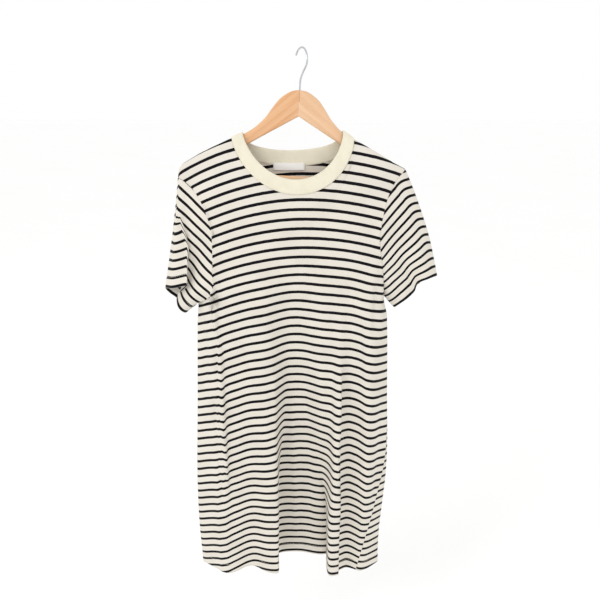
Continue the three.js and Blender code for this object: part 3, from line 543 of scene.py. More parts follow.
# %% Crease lines
# name: list of (x, z), half width, height in mm
CREASES = {
    "front": {
        "left pull from the shoulder": ([(-196, -232), (-176, -300), (-160, -372)], 7, 1.6),
        "left pull beside it": ([(-182, -246), (-158, -318), (-138, -400)], 9, -1.4),
        "left underarm fold": ([(-169, -404), (-167, -452), (-164, -520)], 5, 3.0),
        "left underarm shade": ([(-160, -396), (-158, -450), (-156, -510)], 5, -3.4),
        "left side pull": ([(-186, -452), (-178, -500), (-172, -575)], 6, 2.2),
        "left side pull below": ([(-196, -470), (-188, -540), (-186, -640)], 6, -2.0),
        "left side crease": ([(-164, -600), (-163, -690), (-158, -800), (-150, -920)], 6, 3.2),
        "left side shade": ([(-174, -610), (-173, -700), (-169, -800), (-164, -900)], 5, -3.0),
        "left fall": ([(-120, -420), (-122, -560), (-128, -740), (-130, -1000)], 12, 1.5),
        "left lobe edge": ([(-54, -560), (-54, -700), (-52, -860), (-50, -1040)], 6, 1.8),
        "recess pleat": ([(-22, -640), (-16, -800), (-10, -1040)], 9, 2.0),
        "recess shade": ([(6, -600), (14, -760), (20, -1040)], 8, -1.6),
        "chest sag": ([(-70, -262), (-40, -300), (0, -312), (40, -296), (66, -258)], 14, -1.2),
        "right pull from the shoulder": ([(168, -226), (150, -296), (138, -372)], 7, 1.4),
        "right pull beside it": ([(150, -236), (132, -312), (120, -392)], 9, -1.3),
        "right underarm fold": ([(152, -400), (150, -452), (152, -520)], 6, 2.4),
        "right underarm shade": ([(142, -392), (139, -450), (138, -520)], 6, -2.4),
        "right fall": ([(112, -440), (112, -600), (116, -800), (120, -1010)], 8, -1.8),
        "right fall edge": ([(82, -560), (80, -700), (76, -860), (72, -1040)], 5, 1.6),
        "right side crease": ([(160, -620), (158, -760), (150, -900)], 7, -1.8),
        "hip drift": ([(-10, -420), (20, -520), (48, -640), (60, -760)], 12, 1.6),
    },
    "back": {
        "left blade pull": ([(-180, -250), (-150, -330), (-128, -430)], 11, 1.8),
        "left blade shade": ([(-160, -250), (-130, -340), (-110, -440)], 10, -1.6),
        "right blade pull": ([(150, -250), (122, -330), (100, -430)], 11, 1.8),
        "right blade shade": ([(130, -250), (104, -340), (86, -440)], 10, -1.6),
        "left underarm": ([(-176, -430), (-160, -500), (-152, -590)], 7, 2.2),
        "right underarm": ([(148, -430), (136, -500), (130, -600)], 7, 2.2),
        "small of the back": ([(-60, -520), (-20, -544), (30, -520)], 12, -1.4),
        "left long fold": ([(-128, -600), (-132, -800), (-140, -1040)], 7, 1.8),
        "middle long fold": ([(-30, -560), (-24, -800), (-18, -1050)], 9, 1.6),
        "right long fold": ([(92, -580), (98, -800), (106, -1040)], 7, 1.8),
    },
}


# the cloth stands forward on one side of the line and falls off over the reach; a reach below 0
# means the side to the left
LEDGES = {
    "left side fold": ([(-161, -500), (-161, -700), (-158, -790), (-152, -870)], 9, 34),
    "left underarm fold": ([(-169, -400), (-167, -460), (-165, -530)], 6, 24),
    "small lobe's edge": ([(79, -560), (76, -780), (77, -900), (76, -1150)], 7, -16),
}


def ledge_height(x, z):
    total = np.zeros(x.shape)
    for line, height, reach in LEDGES.values():
        xs, zs = np.array(line, float).T
        away = (x - np.interp(-z, -zs, xs)) * math.copysign(1, reach)
        ends = smooth((zs[0] - z) / 70 + 0.1) * smooth((z - zs[-1]) / 100)
        step = smooth(away / 3 + 0.5) * np.exp(-np.maximum(away, 0) / abs(reach))
        ditch = 0.22 * np.exp(-((away + 3) / 6) ** 2) * (away < 0)
        total = total + height * ends * (step - ditch)
    return total


def near_line(x, z, line):
    """Distance to a line of points, and how far along it the nearest place lies, from 0 to 1."""
    best, place = np.full(x.shape, np.inf), np.zeros(x.shape)
    for i, ((ax, az), (bx, bz)) in enumerate(zip(line[:-1], line[1:])):
        dx, dz = bx - ax, bz - az
        t = np.clip(((x - ax) * dx + (z - az) * dz) / (dx * dx + dz * dz), 0, 1)
        gap = np.hypot(x - ax - t * dx, z - az - t * dz)
        place = np.where(gap < best, (i + t) / (len(line) - 1), place)
        best = np.minimum(best, gap)
    return best, place


def crease_height(creases, x, z):
    total = np.zeros(x.shape)
    for line, half_width, height in creases.values():
        gap, place = near_line(x, z, line)
        ends = np.clip(np.sin(np.pi * np.clip(place, 0.02, 0.98)) * 1.6, 0, 1)
        total = total + height * ends * np.exp(-((gap / half_width) ** 2))
    return total


def unevenness(x, z, turn=0.0):
    """The slow wander that no two folds share, the same at every run."""
    slow = np.sin(x / 31 + 1.7 * np.sin(z / 97 + turn) + turn) * np.sin(z / 143 + 2 * turn)
    fast = np.sin(x / 13 + 2.1 * np.sin(z / 41 + turn)) * np.sin(z / 57 + x / 90 + turn)
    return 0.9 * slow + 0.35 * fast


def grid_normals(grid, closed=False):
    if closed:
        across = np.roll(grid, -1, axis=1) - np.roll(grid, 1, axis=1)
    else:
        across = np.gradient(grid, axis=1)
    down = np.gradient(grid, axis=0)
    normal = np.cross(across, down)
    return normal / np.maximum(np.linalg.norm(normal, axis=-1, keepdims=True), 1e-9)


print("creases:", sum(len(c) for c in CREASES.values()))

# %% [markdown]
# ## Stripes follow the cloth
# Knitted stripes run round the body in courses. Each point of the mesh therefore carries its place in
# the cloth: how far across, and how far down. The stripes sag a little in the middle of the chest
# because the shoulders hold the cloth up at the sides.

# %% Place in the cloth
STRIPE_PITCH = 17.5
FIRST_STRIPE = 258.3  # a stripe's middle, in mm down the cloth


def arch(x):
    from_middle = x - 4.3
    bend = np.where(from_middle < 0, 0.00122, 0.00093)
    return 7 - bend * from_middle**2


TURN_OVER = 34  # the cloth turns over the wood within this distance of the shoulder seam


def body_cloth(grid, offset=0.0):
    x, z = grid[..., 0], grid[..., 2]
    step = np.hypot(np.diff(grid[..., 1], axis=0), np.diff(z, axis=0))
    length = np.concatenate([np.zeros((1, grid.shape[1])), np.cumsum(step, axis=0)])
    spare = length - (z[:1] - z)
    last = np.argmax(length > TURN_OVER, axis=0)
    over = np.where(length < TURN_OVER, spare[last, np.arange(grid.shape[1])] - spare, 0)
    return np.stack([x, arch(x) - z + offset - over], axis=-1)


print("stripes down the front:", round((1050 - 258) / STRIPE_PITCH))

# %% [markdown]
# ## From a grid of points to a piece of cloth
# The mesh is made as one sheet and thickened by a Solidify modifier, which is how thin cloth is best
# kept even. Its place in the cloth is stored as an attribute that the material reads.


# %% Cloth mesh
def as_object(name, vertices, faces):
    mesh = bpy.data.meshes.new(name)
    mesh.from_pydata([tuple(v) for v in vertices], [], [tuple(f) for f in faces])
    mesh.validate()
    mesh.polygons.foreach_set("use_smooth", [True] * len(mesh.polygons))
    made = bpy.data.objects.new(name, mesh)
    bpy.context.scene.collection.objects.link(made)
    return made


def clean(made, merge=0.0):
    """Turns all faces outwards, after points closer than the merge distance are joined."""
    mesh = bmesh.new()
    mesh.from_mesh(made.data)
    if merge:
        bmesh.ops.remove_doubles(mesh, verts=mesh.verts, dist=merge)
    bmesh.ops.recalc_face_normals(mesh, faces=mesh.faces)
    mesh.to_mesh(made.data)
    mesh.free()


def store_places(made, name, places):
    """Stores a place for each point of the mesh, which the materials read."""
    place = made.data.attributes.new(name, "FLOAT_VECTOR", "POINT")
    place.data.foreach_set("vector", places.astype(np.float32).ravel())


def grid_faces(high, wide, closed, flip):
    across = wide if closed else wide - 1
    r, c = np.meshgrid(np.arange(high - 1), np.arange(across), indexing="ij")
    d = (c + 1) % wide
    quads = np.stack([r * wide + c, r * wide + d, (r + 1) * wide + d, (r + 1) * wide + c], axis=-1)
    quads = quads.reshape(-1, 4)
    return quads[:, ::-1] if flip else quads


def cloth_piece(name, grid, cloth, thickness, closed=False, flip=False):
    high, wide = grid.shape[:2]
    faces = grid_faces(high, wide, closed, flip)
    piece = as_object(name, (grid.reshape(-1, 3) * MM).tolist(), faces.tolist())
    flat = np.concatenate([cloth.reshape(-1, 2), np.zeros((high * wide, 1))], axis=1)
    store_places(piece, "cloth", flat)
    shell = piece.modifiers.new("thickness", "SOLIDIFY")
    shell.thickness = thickness * MM
    shell.offset = 0
    return piece


def replace(piece, slot, *nodes):
    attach(piece, "root")
    if nodes:
        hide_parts(*nodes)
    return piece


print("cloth pieces get a Solidify shell")

# %% [markdown]
# ## Front and back
# The creases push the grid along its own normals, fading out at the seams so that neighbours still
# meet. A sewn hem is doubled cloth, so it stands a little thicker below its stitch line.

# %% Front and back pieces
JERSEY_THICK = 0.9
HEM_DEPTH = 22
SEAM_DITCH, SEAM_REACH = 0.7, 2.2
HEM_THICKER, HEM_DITCH = 0.45, 0.5


def edge_fade(grid, over=14.0):
    """0 on the top edge and the side edges, 1 a little way in."""
    top = np.linalg.norm(grid - grid[:1], axis=-1)
    left = np.linalg.norm(grid - grid[:, :1], axis=-1)
    right = np.linalg.norm(grid - grid[:, -1:], axis=-1)
    return smooth(np.minimum(np.minimum(top, left), right) / over)


def seam_ditch(distance):
    """A sewn seam pulls the cloth in along a narrow line."""
    return -SEAM_DITCH * np.exp(-((distance / SEAM_REACH) ** 2))


def hem_rise(distance, fold_end):
    """Doubled cloth stands out as far as the fold's end, and the stitches pull in a line above it."""
    ditch = np.exp(-(((distance - HEM_DEPTH - 1.2) / 1.4) ** 2))
    return HEM_THICKER * smooth((fold_end - distance) / 1.6) - HEM_DITCH * ditch


# how much of its slope a wall of the recess keeps, below 0 where it hangs over, and from which level
WALLS = {"left": (-0.35, -725), "right": (-0.1, -820)}
WALL_FADE = 150


def folded_over(grid, level):
    """The two walls of the recess are drawn together until their edges hang over it a little."""
    x = grid[..., 0].copy()
    for wall, (keep, start) in WALLS.items():
        strength = smooth((start - level) / WALL_FADE)
        away = x - look_up(RECESS, "level", wall, level)
        window = np.exp(-((away / (2.2 * look_up(RECESS, "level", wall + "_soft", level))) ** 2))
        x = x - (1 - keep) * away * window * strength
    return np.stack([x, grid[..., 1], grid[..., 2]], axis=-1)


def dressed(face):
    grid, level = GRIDS[face]
    if face == "front":
        grid = folded_over(grid, level)
    x, z = grid[..., 0], grid[..., 2]
    sign = 1 if face == "back" else -1
    normal = grid_normals(grid)
    normal = normal * np.sign(normal[..., 1].mean() * sign)
    fade = edge_fade(grid)
    rise = (crease_height(CREASES[face], x, z) + unevenness(x, z, 0.4 if face == "front" else 2.1)) * fade
    from_top = np.linalg.norm(grid - grid[:1], axis=-1)
    rise = rise + seam_ditch(from_top)
    if face == "front":
        rise = rise + ledge_height(x, z) * fade
    rise = rise + hem_rise(np.linalg.norm(grid - grid[-1:], axis=-1), HEM_DEPTH + 0.8)
    return grid + normal * rise[..., None]


FRONT, BACK = dressed("front"), dressed("back")
BACK_SLIP = 6.0  # the back was sewn on a little out of step with the front
front = cloth_piece("dress_front", FRONT, body_cloth(GRIDS["front"][0]), JERSEY_THICK, flip=True)
back = cloth_piece("dress_back", BACK, body_cloth(GRIDS["back"][0], BACK_SLIP), JERSEY_THICK)
replace(front, "jersey", "front")
replace(back, "jersey", "back")
print("front:", len(front.data.polygons), "quads; back:", len(back.data.polygons))

# %% [markdown]
# ## Sleeves
# A short set-in sleeve is a tube from the armhole to an open cuff. The left one has fallen into a
# fold along its length. The stripes of a sleeve run parallel to its cuff, so they meet the body's at
# an angle.

# %% Cuffs
LEFT_CUFF = {
    "outer corner": (-258.7, 2, -424),
    "lobe": (-240, -22, -417),
    "lobe edge": (-214, -28, -411),
    "under the lobe": (-225, -13, -424),
    "recess": (-237, -3, -438),
    "second lobe": (-234, -14, -457),
    "inner corner": (-224, -3, -471),
    "behind, inner": (-222, 15, -468),
    "behind": (-240, 25, -454),
    "behind, outer": (-256, 16, -437),
}
RIGHT_CUFF = {
    "outer corner": (256, -1, -398),
    "outer lobe": (236, -21, -399),
    "step": (218.5, -19, -408),
    "under the step": (214, -11, -425),
    "inner lobe": (200, -19, -437),
    "towards the corner": (187, -15, -449),
    "inner corner": (179, -2, -460),
    "behind, inner": (186, 15, -456),
    "behind": (214, 24, -434),
    "behind, outer": (241, 16, -408),
}
CUFF_FRONT_POINTS = 6
SLEEVE_OUT, SLEEVE_UP = {"left": 2, "right": 6}, 3
# shares of the armhole's front that the outer lobe, and the cloth behind it, hang from
LOBE_SHARE = {"left": (0.05, 0.09), "right": (1 / 3, 1 / 2)}
# the fold's line starts on the sleeve's outer edge
LOBE_BEND = {"down": [0, 0.12, 0.3, 0.45, 0.62], "left": [0, 13, 17, 10, 0], "right": [0, 0, 0, 0, 0]}


def closed_curve(points, places):
    """A smooth closed curve through the points, read at places from 0 to 1."""
    points = np.array(points, float)
    count = len(points)
    out = []
    for place in np.asarray(places) * count:
        i = int(math.floor(place))
        t = place - i
        p = [points[(i + k) % count] for k in (-1, 0, 1, 2)]
        gaps = [max(np.linalg.norm(b - a), 1e-6) ** 0.5 for a, b in zip(p[:-1], p[1:])]
        g0, g1, g2 = gaps
        slope1 = ((p[1] - p[0]) / g0 - (p[2] - p[0]) / (g0 + g1) + (p[2] - p[1]) / g1) * g1
        slope2 = ((p[2] - p[1]) / g1 - (p[3] - p[1]) / (g1 + g2) + (p[3] - p[2]) / g2) * g1
        c2 = -3 * p[1] + 3 * p[2] - 2 * slope1 - slope2
        c3 = 2 * p[1] - 2 * p[2] + slope1 + slope2
        out.append(p[1] + slope1 * t + c2 * t * t + c3 * t**3)
    return np.array(out)


def armhole_ring(side):
    tip = ARMHOLE_COLUMNS if side == "left" else len(COLUMNS) - 1 - ARMHOLE_COLUMNS
    end = 0 if side == "left" else len(COLUMNS) - 1
    step = int(np.sign(end - tip))
    down = GRIDS["front"][0][0][np.arange(tip, end, step)]
    up = GRIDS["back"][0][0][np.arange(end, tip, -step)]
    return np.concatenate([down, up])


def finer(ring, times):
    """More points on the straight stretches between a ring's points."""
    ahead = np.roll(ring, -1, axis=0)
    parts = [mix(ring, ahead, k / times) for k in range(times)]
    return np.stack(parts, axis=1).reshape(-1, 3)


RINGS = {side: finer(armhole_ring(side), 3) for side in ("left", "right")}
print("points round an armhole:", {side: len(ring) for side, ring in RINGS.items()})

# %% [markdown]
# ## The sleeves' surface
# Each sleeve is ruled from its armhole to its cuff: a straight line joins the two rings at every
# column. A sculpted tube would allow more, but a ruled one can't twist or pinch. Three things are laid
# over it: a bend where the left sleeve's fold starts on the outer edge, a few soft folds, and the hem.
# The stripes keep their distance from the cuff in the cloth, which the formulas below work out.

# %% Sleeve pieces
SLEEVE_ROWS = 84
HALF_ROUND = 200  # half the way round a sleeve, for the wales
# place round the ring from 0 to 2, reach round it, place down the sleeve, reach down it, height in mm
SLEEVE_FOLDS = {
    "left": [
        (0.16, 0.05, 0.62, 0.42, 3.0), (0.28, 0.05, 0.66, 0.40, -3.4), (0.40, 0.05, 0.5, 0.4, 2.2),
        (0.62, 0.06, 0.4, 0.35, -2.4), (0.78, 0.07, 0.35, 0.3, 2.6), (0.9, 0.05, 0.3, 0.3, -2.0),
        (1.25, 0.1, 0.5, 0.4, 2.6), (1.5, 0.1, 0.55, 0.4, -2.4), (1.75, 0.08, 0.5, 0.4, 2.2),
    ],
    "right": [
        (0.18, 0.07, 0.6, 0.45, 2.2), (0.36, 0.06, 0.7, 0.45, -2.6), (0.5, 0.06, 0.6, 0.4, 2.0),
        (0.66, 0.06, 0.45, 0.4, -2.2), (0.82, 0.06, 0.35, 0.3, 2.2), (1.3, 0.1, 0.5, 0.4, 2.4),
        (1.55, 0.1, 0.55, 0.4, -2.4), (1.8, 0.08, 0.5, 0.4, 2.0),
    ],
}

SLEEVE_EASE = {"left": 1.03, "right": 1.12}  # the cloth's length over that of the ruled lines
LOBE_FOLD = {"level": [-222, -280, -329, -407, -470], "across": [-227, -228, -216, -214, -214]}


# cloth for each step of height, level of the cuff, and slope of the stripes: on the lobe, whose
# stripes lean more towards the top, and on the askew cloth beside it
LOBE_STRETCH, LOBE_LEVEL, LOBE_LEAN, LOBE_LEAN_MORE = 1.087, -411, 0.29, 0.18
ASKEW_STRETCH, ASKEW_LEVEL, ASKEW_LEAN, ASKEW_FROM = 0.815, -468, 0.95, -221.6


def left_sleeve_stripes(x, z, turn):
    """Height above the cuff in the cloth: the fallen front hangs askew behind the lobe."""
    fold = look_up(LOBE_FOLD, "level", "across", z)
    lean = LOBE_LEAN + LOBE_LEAN_MORE * smooth((z + 380) / 80)
    lobe = LOBE_STRETCH * (z - LOBE_LEVEL - lean * (x - fold))
    askew = ASKEW_STRETCH * (z - ASKEW_LEVEL + ASKEW_LEAN * (x - ASKEW_FROM))
    past_fold = np.maximum(smooth(2 * (turn * CUFF_FRONT_POINTS - 2)), smooth((z + 300) / 25))
    return mix(lobe, askew, past_fold)


def right_sleeve_stripes(x, z, turn):
    """Height above the cuff in the cloth, read where the stripe reaches the sleeve's outer edge."""
    at_edge = z
    for _ in range(8):
        inward = np.maximum(190 + 0.34 * (-206 - at_edge) - x, 0)
        at_edge = z + 0.8 * inward + 0.005 * inward**2
    return 1.18 * (at_edge + 391) - 0.2 * inward * smooth((-330 - z) / 110)


SLEEVE_STRIPES = {"left": left_sleeve_stripes, "right": right_sleeve_stripes}


def sleeve_grid(side, cuff):
    ring = RINGS[side]
    points = list(cuff.values())
    even = 2 * np.arange(len(ring)) / len(ring)
    behind = len(points) - CUFF_FRONT_POINTS
    place = np.where(even <= 1, even * CUFF_FRONT_POINTS, CUFF_FRONT_POINTS + (even - 1) * behind)
    to = closed_curve(points, place / len(points))
    turn = np.interp(even, [0, 1 / 3, 1 / 2, 1, 2], [0, *LOBE_SHARE[side], 1, 2])
    at = turn / 2 * len(ring)
    low = at.astype(int)
    ring = mix(ring[low], ring[(low + 1) % len(ring)], (at - low)[:, None])
    down = (np.arange(SLEEVE_ROWS + 1) / SLEEVE_ROWS)[:, None]
    swell = 4 * down * (1 - down) * (0.5 + 0.5 * np.cos(turn * np.pi))[None, :]
    grid = mix(ring[None], to[None], down[..., None])
    grid[..., 0] += SLEEVE_OUT[side] * swell
    grid[..., 2] += SLEEVE_UP * swell
    near_fold = np.exp(-(((even - 1 / 3) / 0.15) ** 2))[None, :]
    grid[..., 0] -= np.interp(down, LOBE_BEND["down"], LOBE_BEND[side]) * near_fold
    along = (1 - down) * np.linalg.norm(to - ring, axis=1)[None, :] * SLEEVE_EASE[side]
    front_share = (even <= 1)[None, :] * np.minimum(1, 8 * even)[None, :]
    above = SLEEVE_STRIPES[side](grid[..., 0], grid[..., 2], even[None, :])
    along = mix(along, above, front_share * (1 - down**4))
    cloth = np.stack([np.broadcast_to(turn * HALF_ROUND, along.shape), along], axis=-1)
    return grid, cloth, even, down


def sleeve(side, cuff):
    grid, cloth, turn, down = sleeve_grid(side, cuff)
    normal = grid_normals(grid, closed=True)
    centre = grid.mean(axis=1, keepdims=True)
    outward = np.sign(np.sum(normal * (grid - centre), axis=-1).mean())
    rise = np.zeros(grid.shape[:2])
    for at, reach, low, tall, height in SLEEVE_FOLDS[side]:
        round_gap = (turn[None, :] - at + 1) % 2 - 1
        rise = rise + height * np.exp(-((round_gap / reach) ** 2) - ((down - low) / tall) ** 2)
    rise = rise + unevenness(grid[..., 0] * 1.3, grid[..., 2] * 1.3, 1.1) * 0.8
    from_seam = np.linalg.norm(grid - grid[:1], axis=-1)
    from_cuff = np.linalg.norm(grid - grid[-1:], axis=-1)
    rise = rise * smooth(from_seam / 12) * smooth(from_cuff / 10 + 0.3)
    rise = rise + seam_ditch(from_seam) + hem_rise(from_cuff, HEM_DEPTH)
    shaped = grid + normal * outward * rise[..., None]
    made = cloth_piece("dress_sleeve_" + side, shaped, cloth, JERSEY_THICK, closed=True, flip=outward < 0)
    return replace(made, "jersey", "sleeve_" + side), shaped


sleeve_left, LEFT_GRID = sleeve("left", LEFT_CUFF)
sleeve_right, RIGHT_GRID = sleeve("right", RIGHT_CUFF)
print("sleeves:", len(sleeve_left.data.polygons), len(sleeve_right.data.polygons))

# %% [markdown]
# ## Neckband
# The band is a folded strip of one-by-one rib: narrow ridges run across it and stretch it round the
# neck. Here the ridges are real geometry, because the light catches them along the whole edge.

# %% Neckband
RIB_THICK = 2.4
RIBS = 248
BAND_ROWS = 13
COLUMNS_A_RIB = 8
RIB_HEIGHT, BAND_SWELL = 0.34, 0.7
BAND_DEPTH = 26


def band_side(face, turns):
    """A stretch of the band: rows from the outer seam to the inner edge."""
    rows = []
    for t in np.linspace(0, 1, BAND_ROWS):
        outer_x, outer_z = neck_point("outer", face, turns)
        inner_x, inner_z = neck_point("inner", face, turns)
        x, z = mix(outer_x, inner_x, t), mix(outer_z, inner_z, t)
        rows.append(np.stack([x, face_depth(face, x, z - CLOTH_LEAN * x), z], axis=-1))
    grid = np.stack(rows)
    grid[:, [0, -1], 1] = 0
    return grid


def neckband():
    half = np.linspace(-np.pi / 2, np.pi / 2, RIBS * COLUMNS_A_RIB // 2 + 1)
    grid = np.concatenate([band_side("front", half)[:, :-1], band_side("back", half[::-1])[:, :-1]], axis=1)
    middle = grid[BAND_ROWS // 2]
    step = np.linalg.norm(np.roll(middle, -1, axis=0) - middle, axis=1)
    along = np.concatenate([[0], np.cumsum(step)])
    even = np.linspace(0, along[-1], len(middle) + 1)[:-1]
    closed = np.concatenate([grid, grid[:, :1]], axis=1)
    at = np.interp(even, along, np.arange(len(along)))
    i = np.minimum(at.astype(int), len(middle) - 1)
    grid = mix(closed[:, i], closed[:, i + 1], (at - i)[None, :, None])
    normal = grid_normals(grid, closed=True)
    hub = np.array([NECK_ACROSS, 0, grid[..., 2].min() - 200])
    outward = np.sign(np.sum(normal * (grid - hub) * [0, 1, 0], axis=-1, keepdims=True).mean())
    t = np.linspace(0, 1, BAND_ROWS)[:, None]
    ribs = np.maximum(np.cos(even / along[-1] * RIBS * 2 * np.pi), -0.6)[None, :]
    rise = BAND_SWELL * np.sin(np.pi * t) + RIB_HEIGHT * ribs * (1 - 0.5 * t**6)
    grid = grid + normal * outward * rise[..., None]
    cloth = np.stack(np.broadcast_arrays(even[None, :], t * BAND_DEPTH), axis=-1)
    made = cloth_piece("neckband_rib", grid, cloth, RIB_THICK, closed=True, flip=outward < 0)
    return replace(made, "rib_knit", "neckband")


band = neckband()
print("neckband:", len(band.data.polygons), "quads and", RIBS, "ribs")

# %% [markdown]
# ## Label
# A blank woven label is sewn inside the back of the neck by its two ends. It lies on the cloth and
# curves with it.

# %% Blank label
LABEL_THICK = 0.5
LABEL = {"across": -22.7, "top": -190.5, "width": 57, "height": 13.5, "clear": 0.35}


def label():
    u, v = np.meshgrid(np.linspace(-0.5, 0.5, 58), np.linspace(0, 1, 15))
    x = LABEL["across"] + u * LABEL["width"]
    z = LABEL["top"] - v * LABEL["height"] - 0.5 * (1 - 4 * u**2)
    back_y = face_depth("back", x, z - CLOTH_LEAN * x) - RIB_THICK / 2
    lift = LABEL["clear"] + 0.5 * (1 - (2 * u) ** 6) * np.sin(np.pi * v * 0.9 + 0.2)
    grid = np.stack([x, back_y - lift - LABEL_THICK / 2, z], axis=-1)
    cloth = np.stack([u * LABEL["width"], v * LABEL["height"]], axis=-1)
    made = cloth_piece("neck_label_blank", grid, cloth, LABEL_THICK)
    return replace(made, "label_cloth", "neck_label")


blank_label = label()
print("label:", LABEL["width"], "x", LABEL["height"], "mm")

# %% [markdown]
# ## Wooden arms
# Each arm is one board, cut to the hanger's curve and rounded over on every edge. A loft does that:
# a rounded section is moved along the arm and takes its height and thickness from the outline table.

# %% Hanger arms
MITRE_GAP = 0.3
SECTION_POINTS = 40
ARM_STEPS = 150
WOOD_ROUND, END_ROUND = 4.5, 5
GRAIN_SLOPE = 0.78  # how far the board's grain falls for each step along the arm


def rounded_section(thick, top, low, rounding):
    """Points round a rounded rectangle that stands on edge, evenly over its corners and sides."""
    r = np.minimum(np.minimum(thick / 2, (top - low) / 2) * 0.98, rounding)
    corners = [(1, 1, 0), (-1, 1, 90), (-1, -1, 180), (1, -1, 270)]
    out = []
    for sy, sz, start in corners:
        centre_y = sy * (thick / 2 - r)
        centre_z = (top - r) if sz > 0 else (low + r)
        for turn in np.radians(np.linspace(start, start + 90, SECTION_POINTS // 4)):
            out.append((centre_y + r * math.cos(turn), centre_z + r * math.sin(turn)))
    return np.array(out)


def hanger_arm(side):
    sign = -1 if side == "left" else 1
    outs = np.concatenate([[MITRE_GAP / 2], np.linspace(1.0, ARM["out"][-1], ARM_STEPS)])
    rings = []
    for out in outs:
        sizes = [float(look_up(ARM, "out", name, np.array(out))) for name in ("thick", "top", "low")]
        thick, top, low = sizes
        near_end = min(1, (ARM["out"][-1] - out) / END_ROUND + 0.02)
        shrink = math.sqrt(1 - (1 - near_end) ** 2)
        middle = (top + low) / 2
        half = (top - low) / 2 * mix(0.45, 1, shrink)
        section = rounded_section(thick * mix(0.3, 1, shrink), middle + half, middle - half, WOOD_ROUND)
        across, height = tilted(sign * out, section[:, 1])
        rings.append(np.stack([across, section[:, 0], height], axis=-1))
    grid = np.array(rings)
    count = grid.shape[1]
    faces = grid_faces(len(grid), count, True, side == "right").tolist()
    caps = [list(range(count)), [(len(grid) - 1) * count + i for i in range(count)]]
    made = as_object("hanger_arm_" + side + "_wood", grid.reshape(-1, 3) * MM, faces + caps)
    along = np.broadcast_to(outs[:, None], grid.shape[:2])
    place = np.stack([along, grid[..., 1], grid[..., 2] + along * GRAIN_SLOPE], axis=-1)
    store_places(made, "board", place)
    clean(made, merge=0.01 * MM)
    return replace(made, "hanger_wood", "hanger_arm_" + side)


arms = {side: hanger_arm(side) for side in ("left", "right")}
print("arms:", {side: len(arm.data.polygons) for side, arm in arms.items()})

# %% [markdown]
# ## Trouser bar
# A turned round bar joins the ends of the two arms. It and the hook are both a circle moved along a
# path, so one function makes them. It stays a plain mesh, because a curve with a bevel would turn its
# section where the path bends.

# %% Trouser bar
BAR_RADIUS, BAR_LEVEL, BAR_REACH = 5.5, -218.5, 168


def turned(name, path, radius, around, slot, node):
    """A round bar along a path of points in mm, as a mesh of rings."""
    path = np.array(path, float)
    ahead = np.gradient(path, axis=0)
    ahead /= np.linalg.norm(ahead, axis=1, keepdims=True)
    side = np.cross(ahead, [0, 0, 1.0]) if abs(ahead[0][2]) < 0.7 else np.cross(ahead, [0, 1.0, 0])
    side /= np.linalg.norm(side, axis=1, keepdims=True)
    up = np.cross(side, ahead)
    turn = 2 * np.pi * np.arange(around) / around
    radius = np.broadcast_to(radius, (len(path),))[:, None, None]
    grid = path[:, None] + radius * (
        np.cos(turn)[None, :, None] * side[:, None] + np.sin(turn)[None, :, None] * up[:, None]
    )
    faces = grid_faces(len(path), around, True, False).tolist()
    faces += [list(range(around)), [(len(path) - 1) * around + i for i in range(around)]]
    made = as_object(name, grid.reshape(-1, 3) * MM, faces)
    store_places(made, "board", grid)
    clean(made)
    return replace(made, slot, node)


def bar_path():
    across = np.linspace(-BAR_REACH, BAR_REACH, 60)
    x, z = tilted(across, BAR_LEVEL)
    return np.stack([x, np.zeros(len(x)), z], axis=-1)


bar = turned("hanger_bar_wood", bar_path(), BAR_RADIUS, 32, "hanger_wood", "hanger_bar")
print("bar:", 2 * BAR_REACH, "mm")

# %% [markdown]
# ## Hook
# The hook is one bent wire, chromed, screwed into the wood. It stands turned about its stem, so from
# the front its bow looks narrow.

# %% Wire hook
WIRE_RADIUS, BOW_RADIUS, BOW_LEVEL = 1.6, 21.6, -20
HOOK_TURN = math.radians(-62)
STEM_DEPTH = 20
STEM = [(0, -66.6 - STEM_DEPTH + 0.3), (0, -74), (0, -62), (1.5, -49), (9, -38), (16.5, -30.5)]


def hook_path():
    bow = [
        (BOW_RADIUS * math.cos(math.radians(a)), BOW_LEVEL + BOW_RADIUS * math.sin(math.radians(a)))
        for a in np.linspace(-14, 154, 13)
    ]
    points = np.array(STEM + bow, float)
    steps = np.linspace(0, len(points) - 1.001, 220)
    path = []
    for step in steps:
        i = int(step)
        t = step - i
        p = [points[min(max(i + k, 0), len(points) - 1)] for k in (-1, 0, 1, 2)]
        path.append(0.5 * (2 * p[1] + (p[2] - p[0]) * t + (2 * p[0] - 5 * p[1] + 4 * p[2] - p[3]) * t * t
                           + (3 * p[1] - p[0] - 3 * p[2] + p[3]) * t**3))
    path = np.array(path)
    side, height = path[:, 0], path[:, 1]
    x, z = tilted(side * math.cos(HOOK_TURN), height)
    return np.stack([x, side * math.sin(HOOK_TURN), z], axis=-1)


def wire_radius(count):
    from_end = np.arange(count)[::-1] / 4
    return WIRE_RADIUS * np.sqrt(1 - (1 - np.clip(from_end, 0.06, 1)) ** 2)


HOOK = hook_path()
hook = turned("hanger_hook_wire", HOOK, wire_radius(len(HOOK)), 24, "hook_wire", "hanger_hook")
print("hook top at", round(float(HOOK[:, 2].max() + WIRE_RADIUS), 2), "mm")

# %% [markdown]
# ## Stitches
# The hem and the two cuffs are each held by a line of short stitches. A stitch is a small capsule
# that lies in the cloth, so the lines show as thread and not as paint.

# %% Stitches
STITCH_LENGTH, STITCH_GAP, THREAD = 2.3, 1.2, 0.34


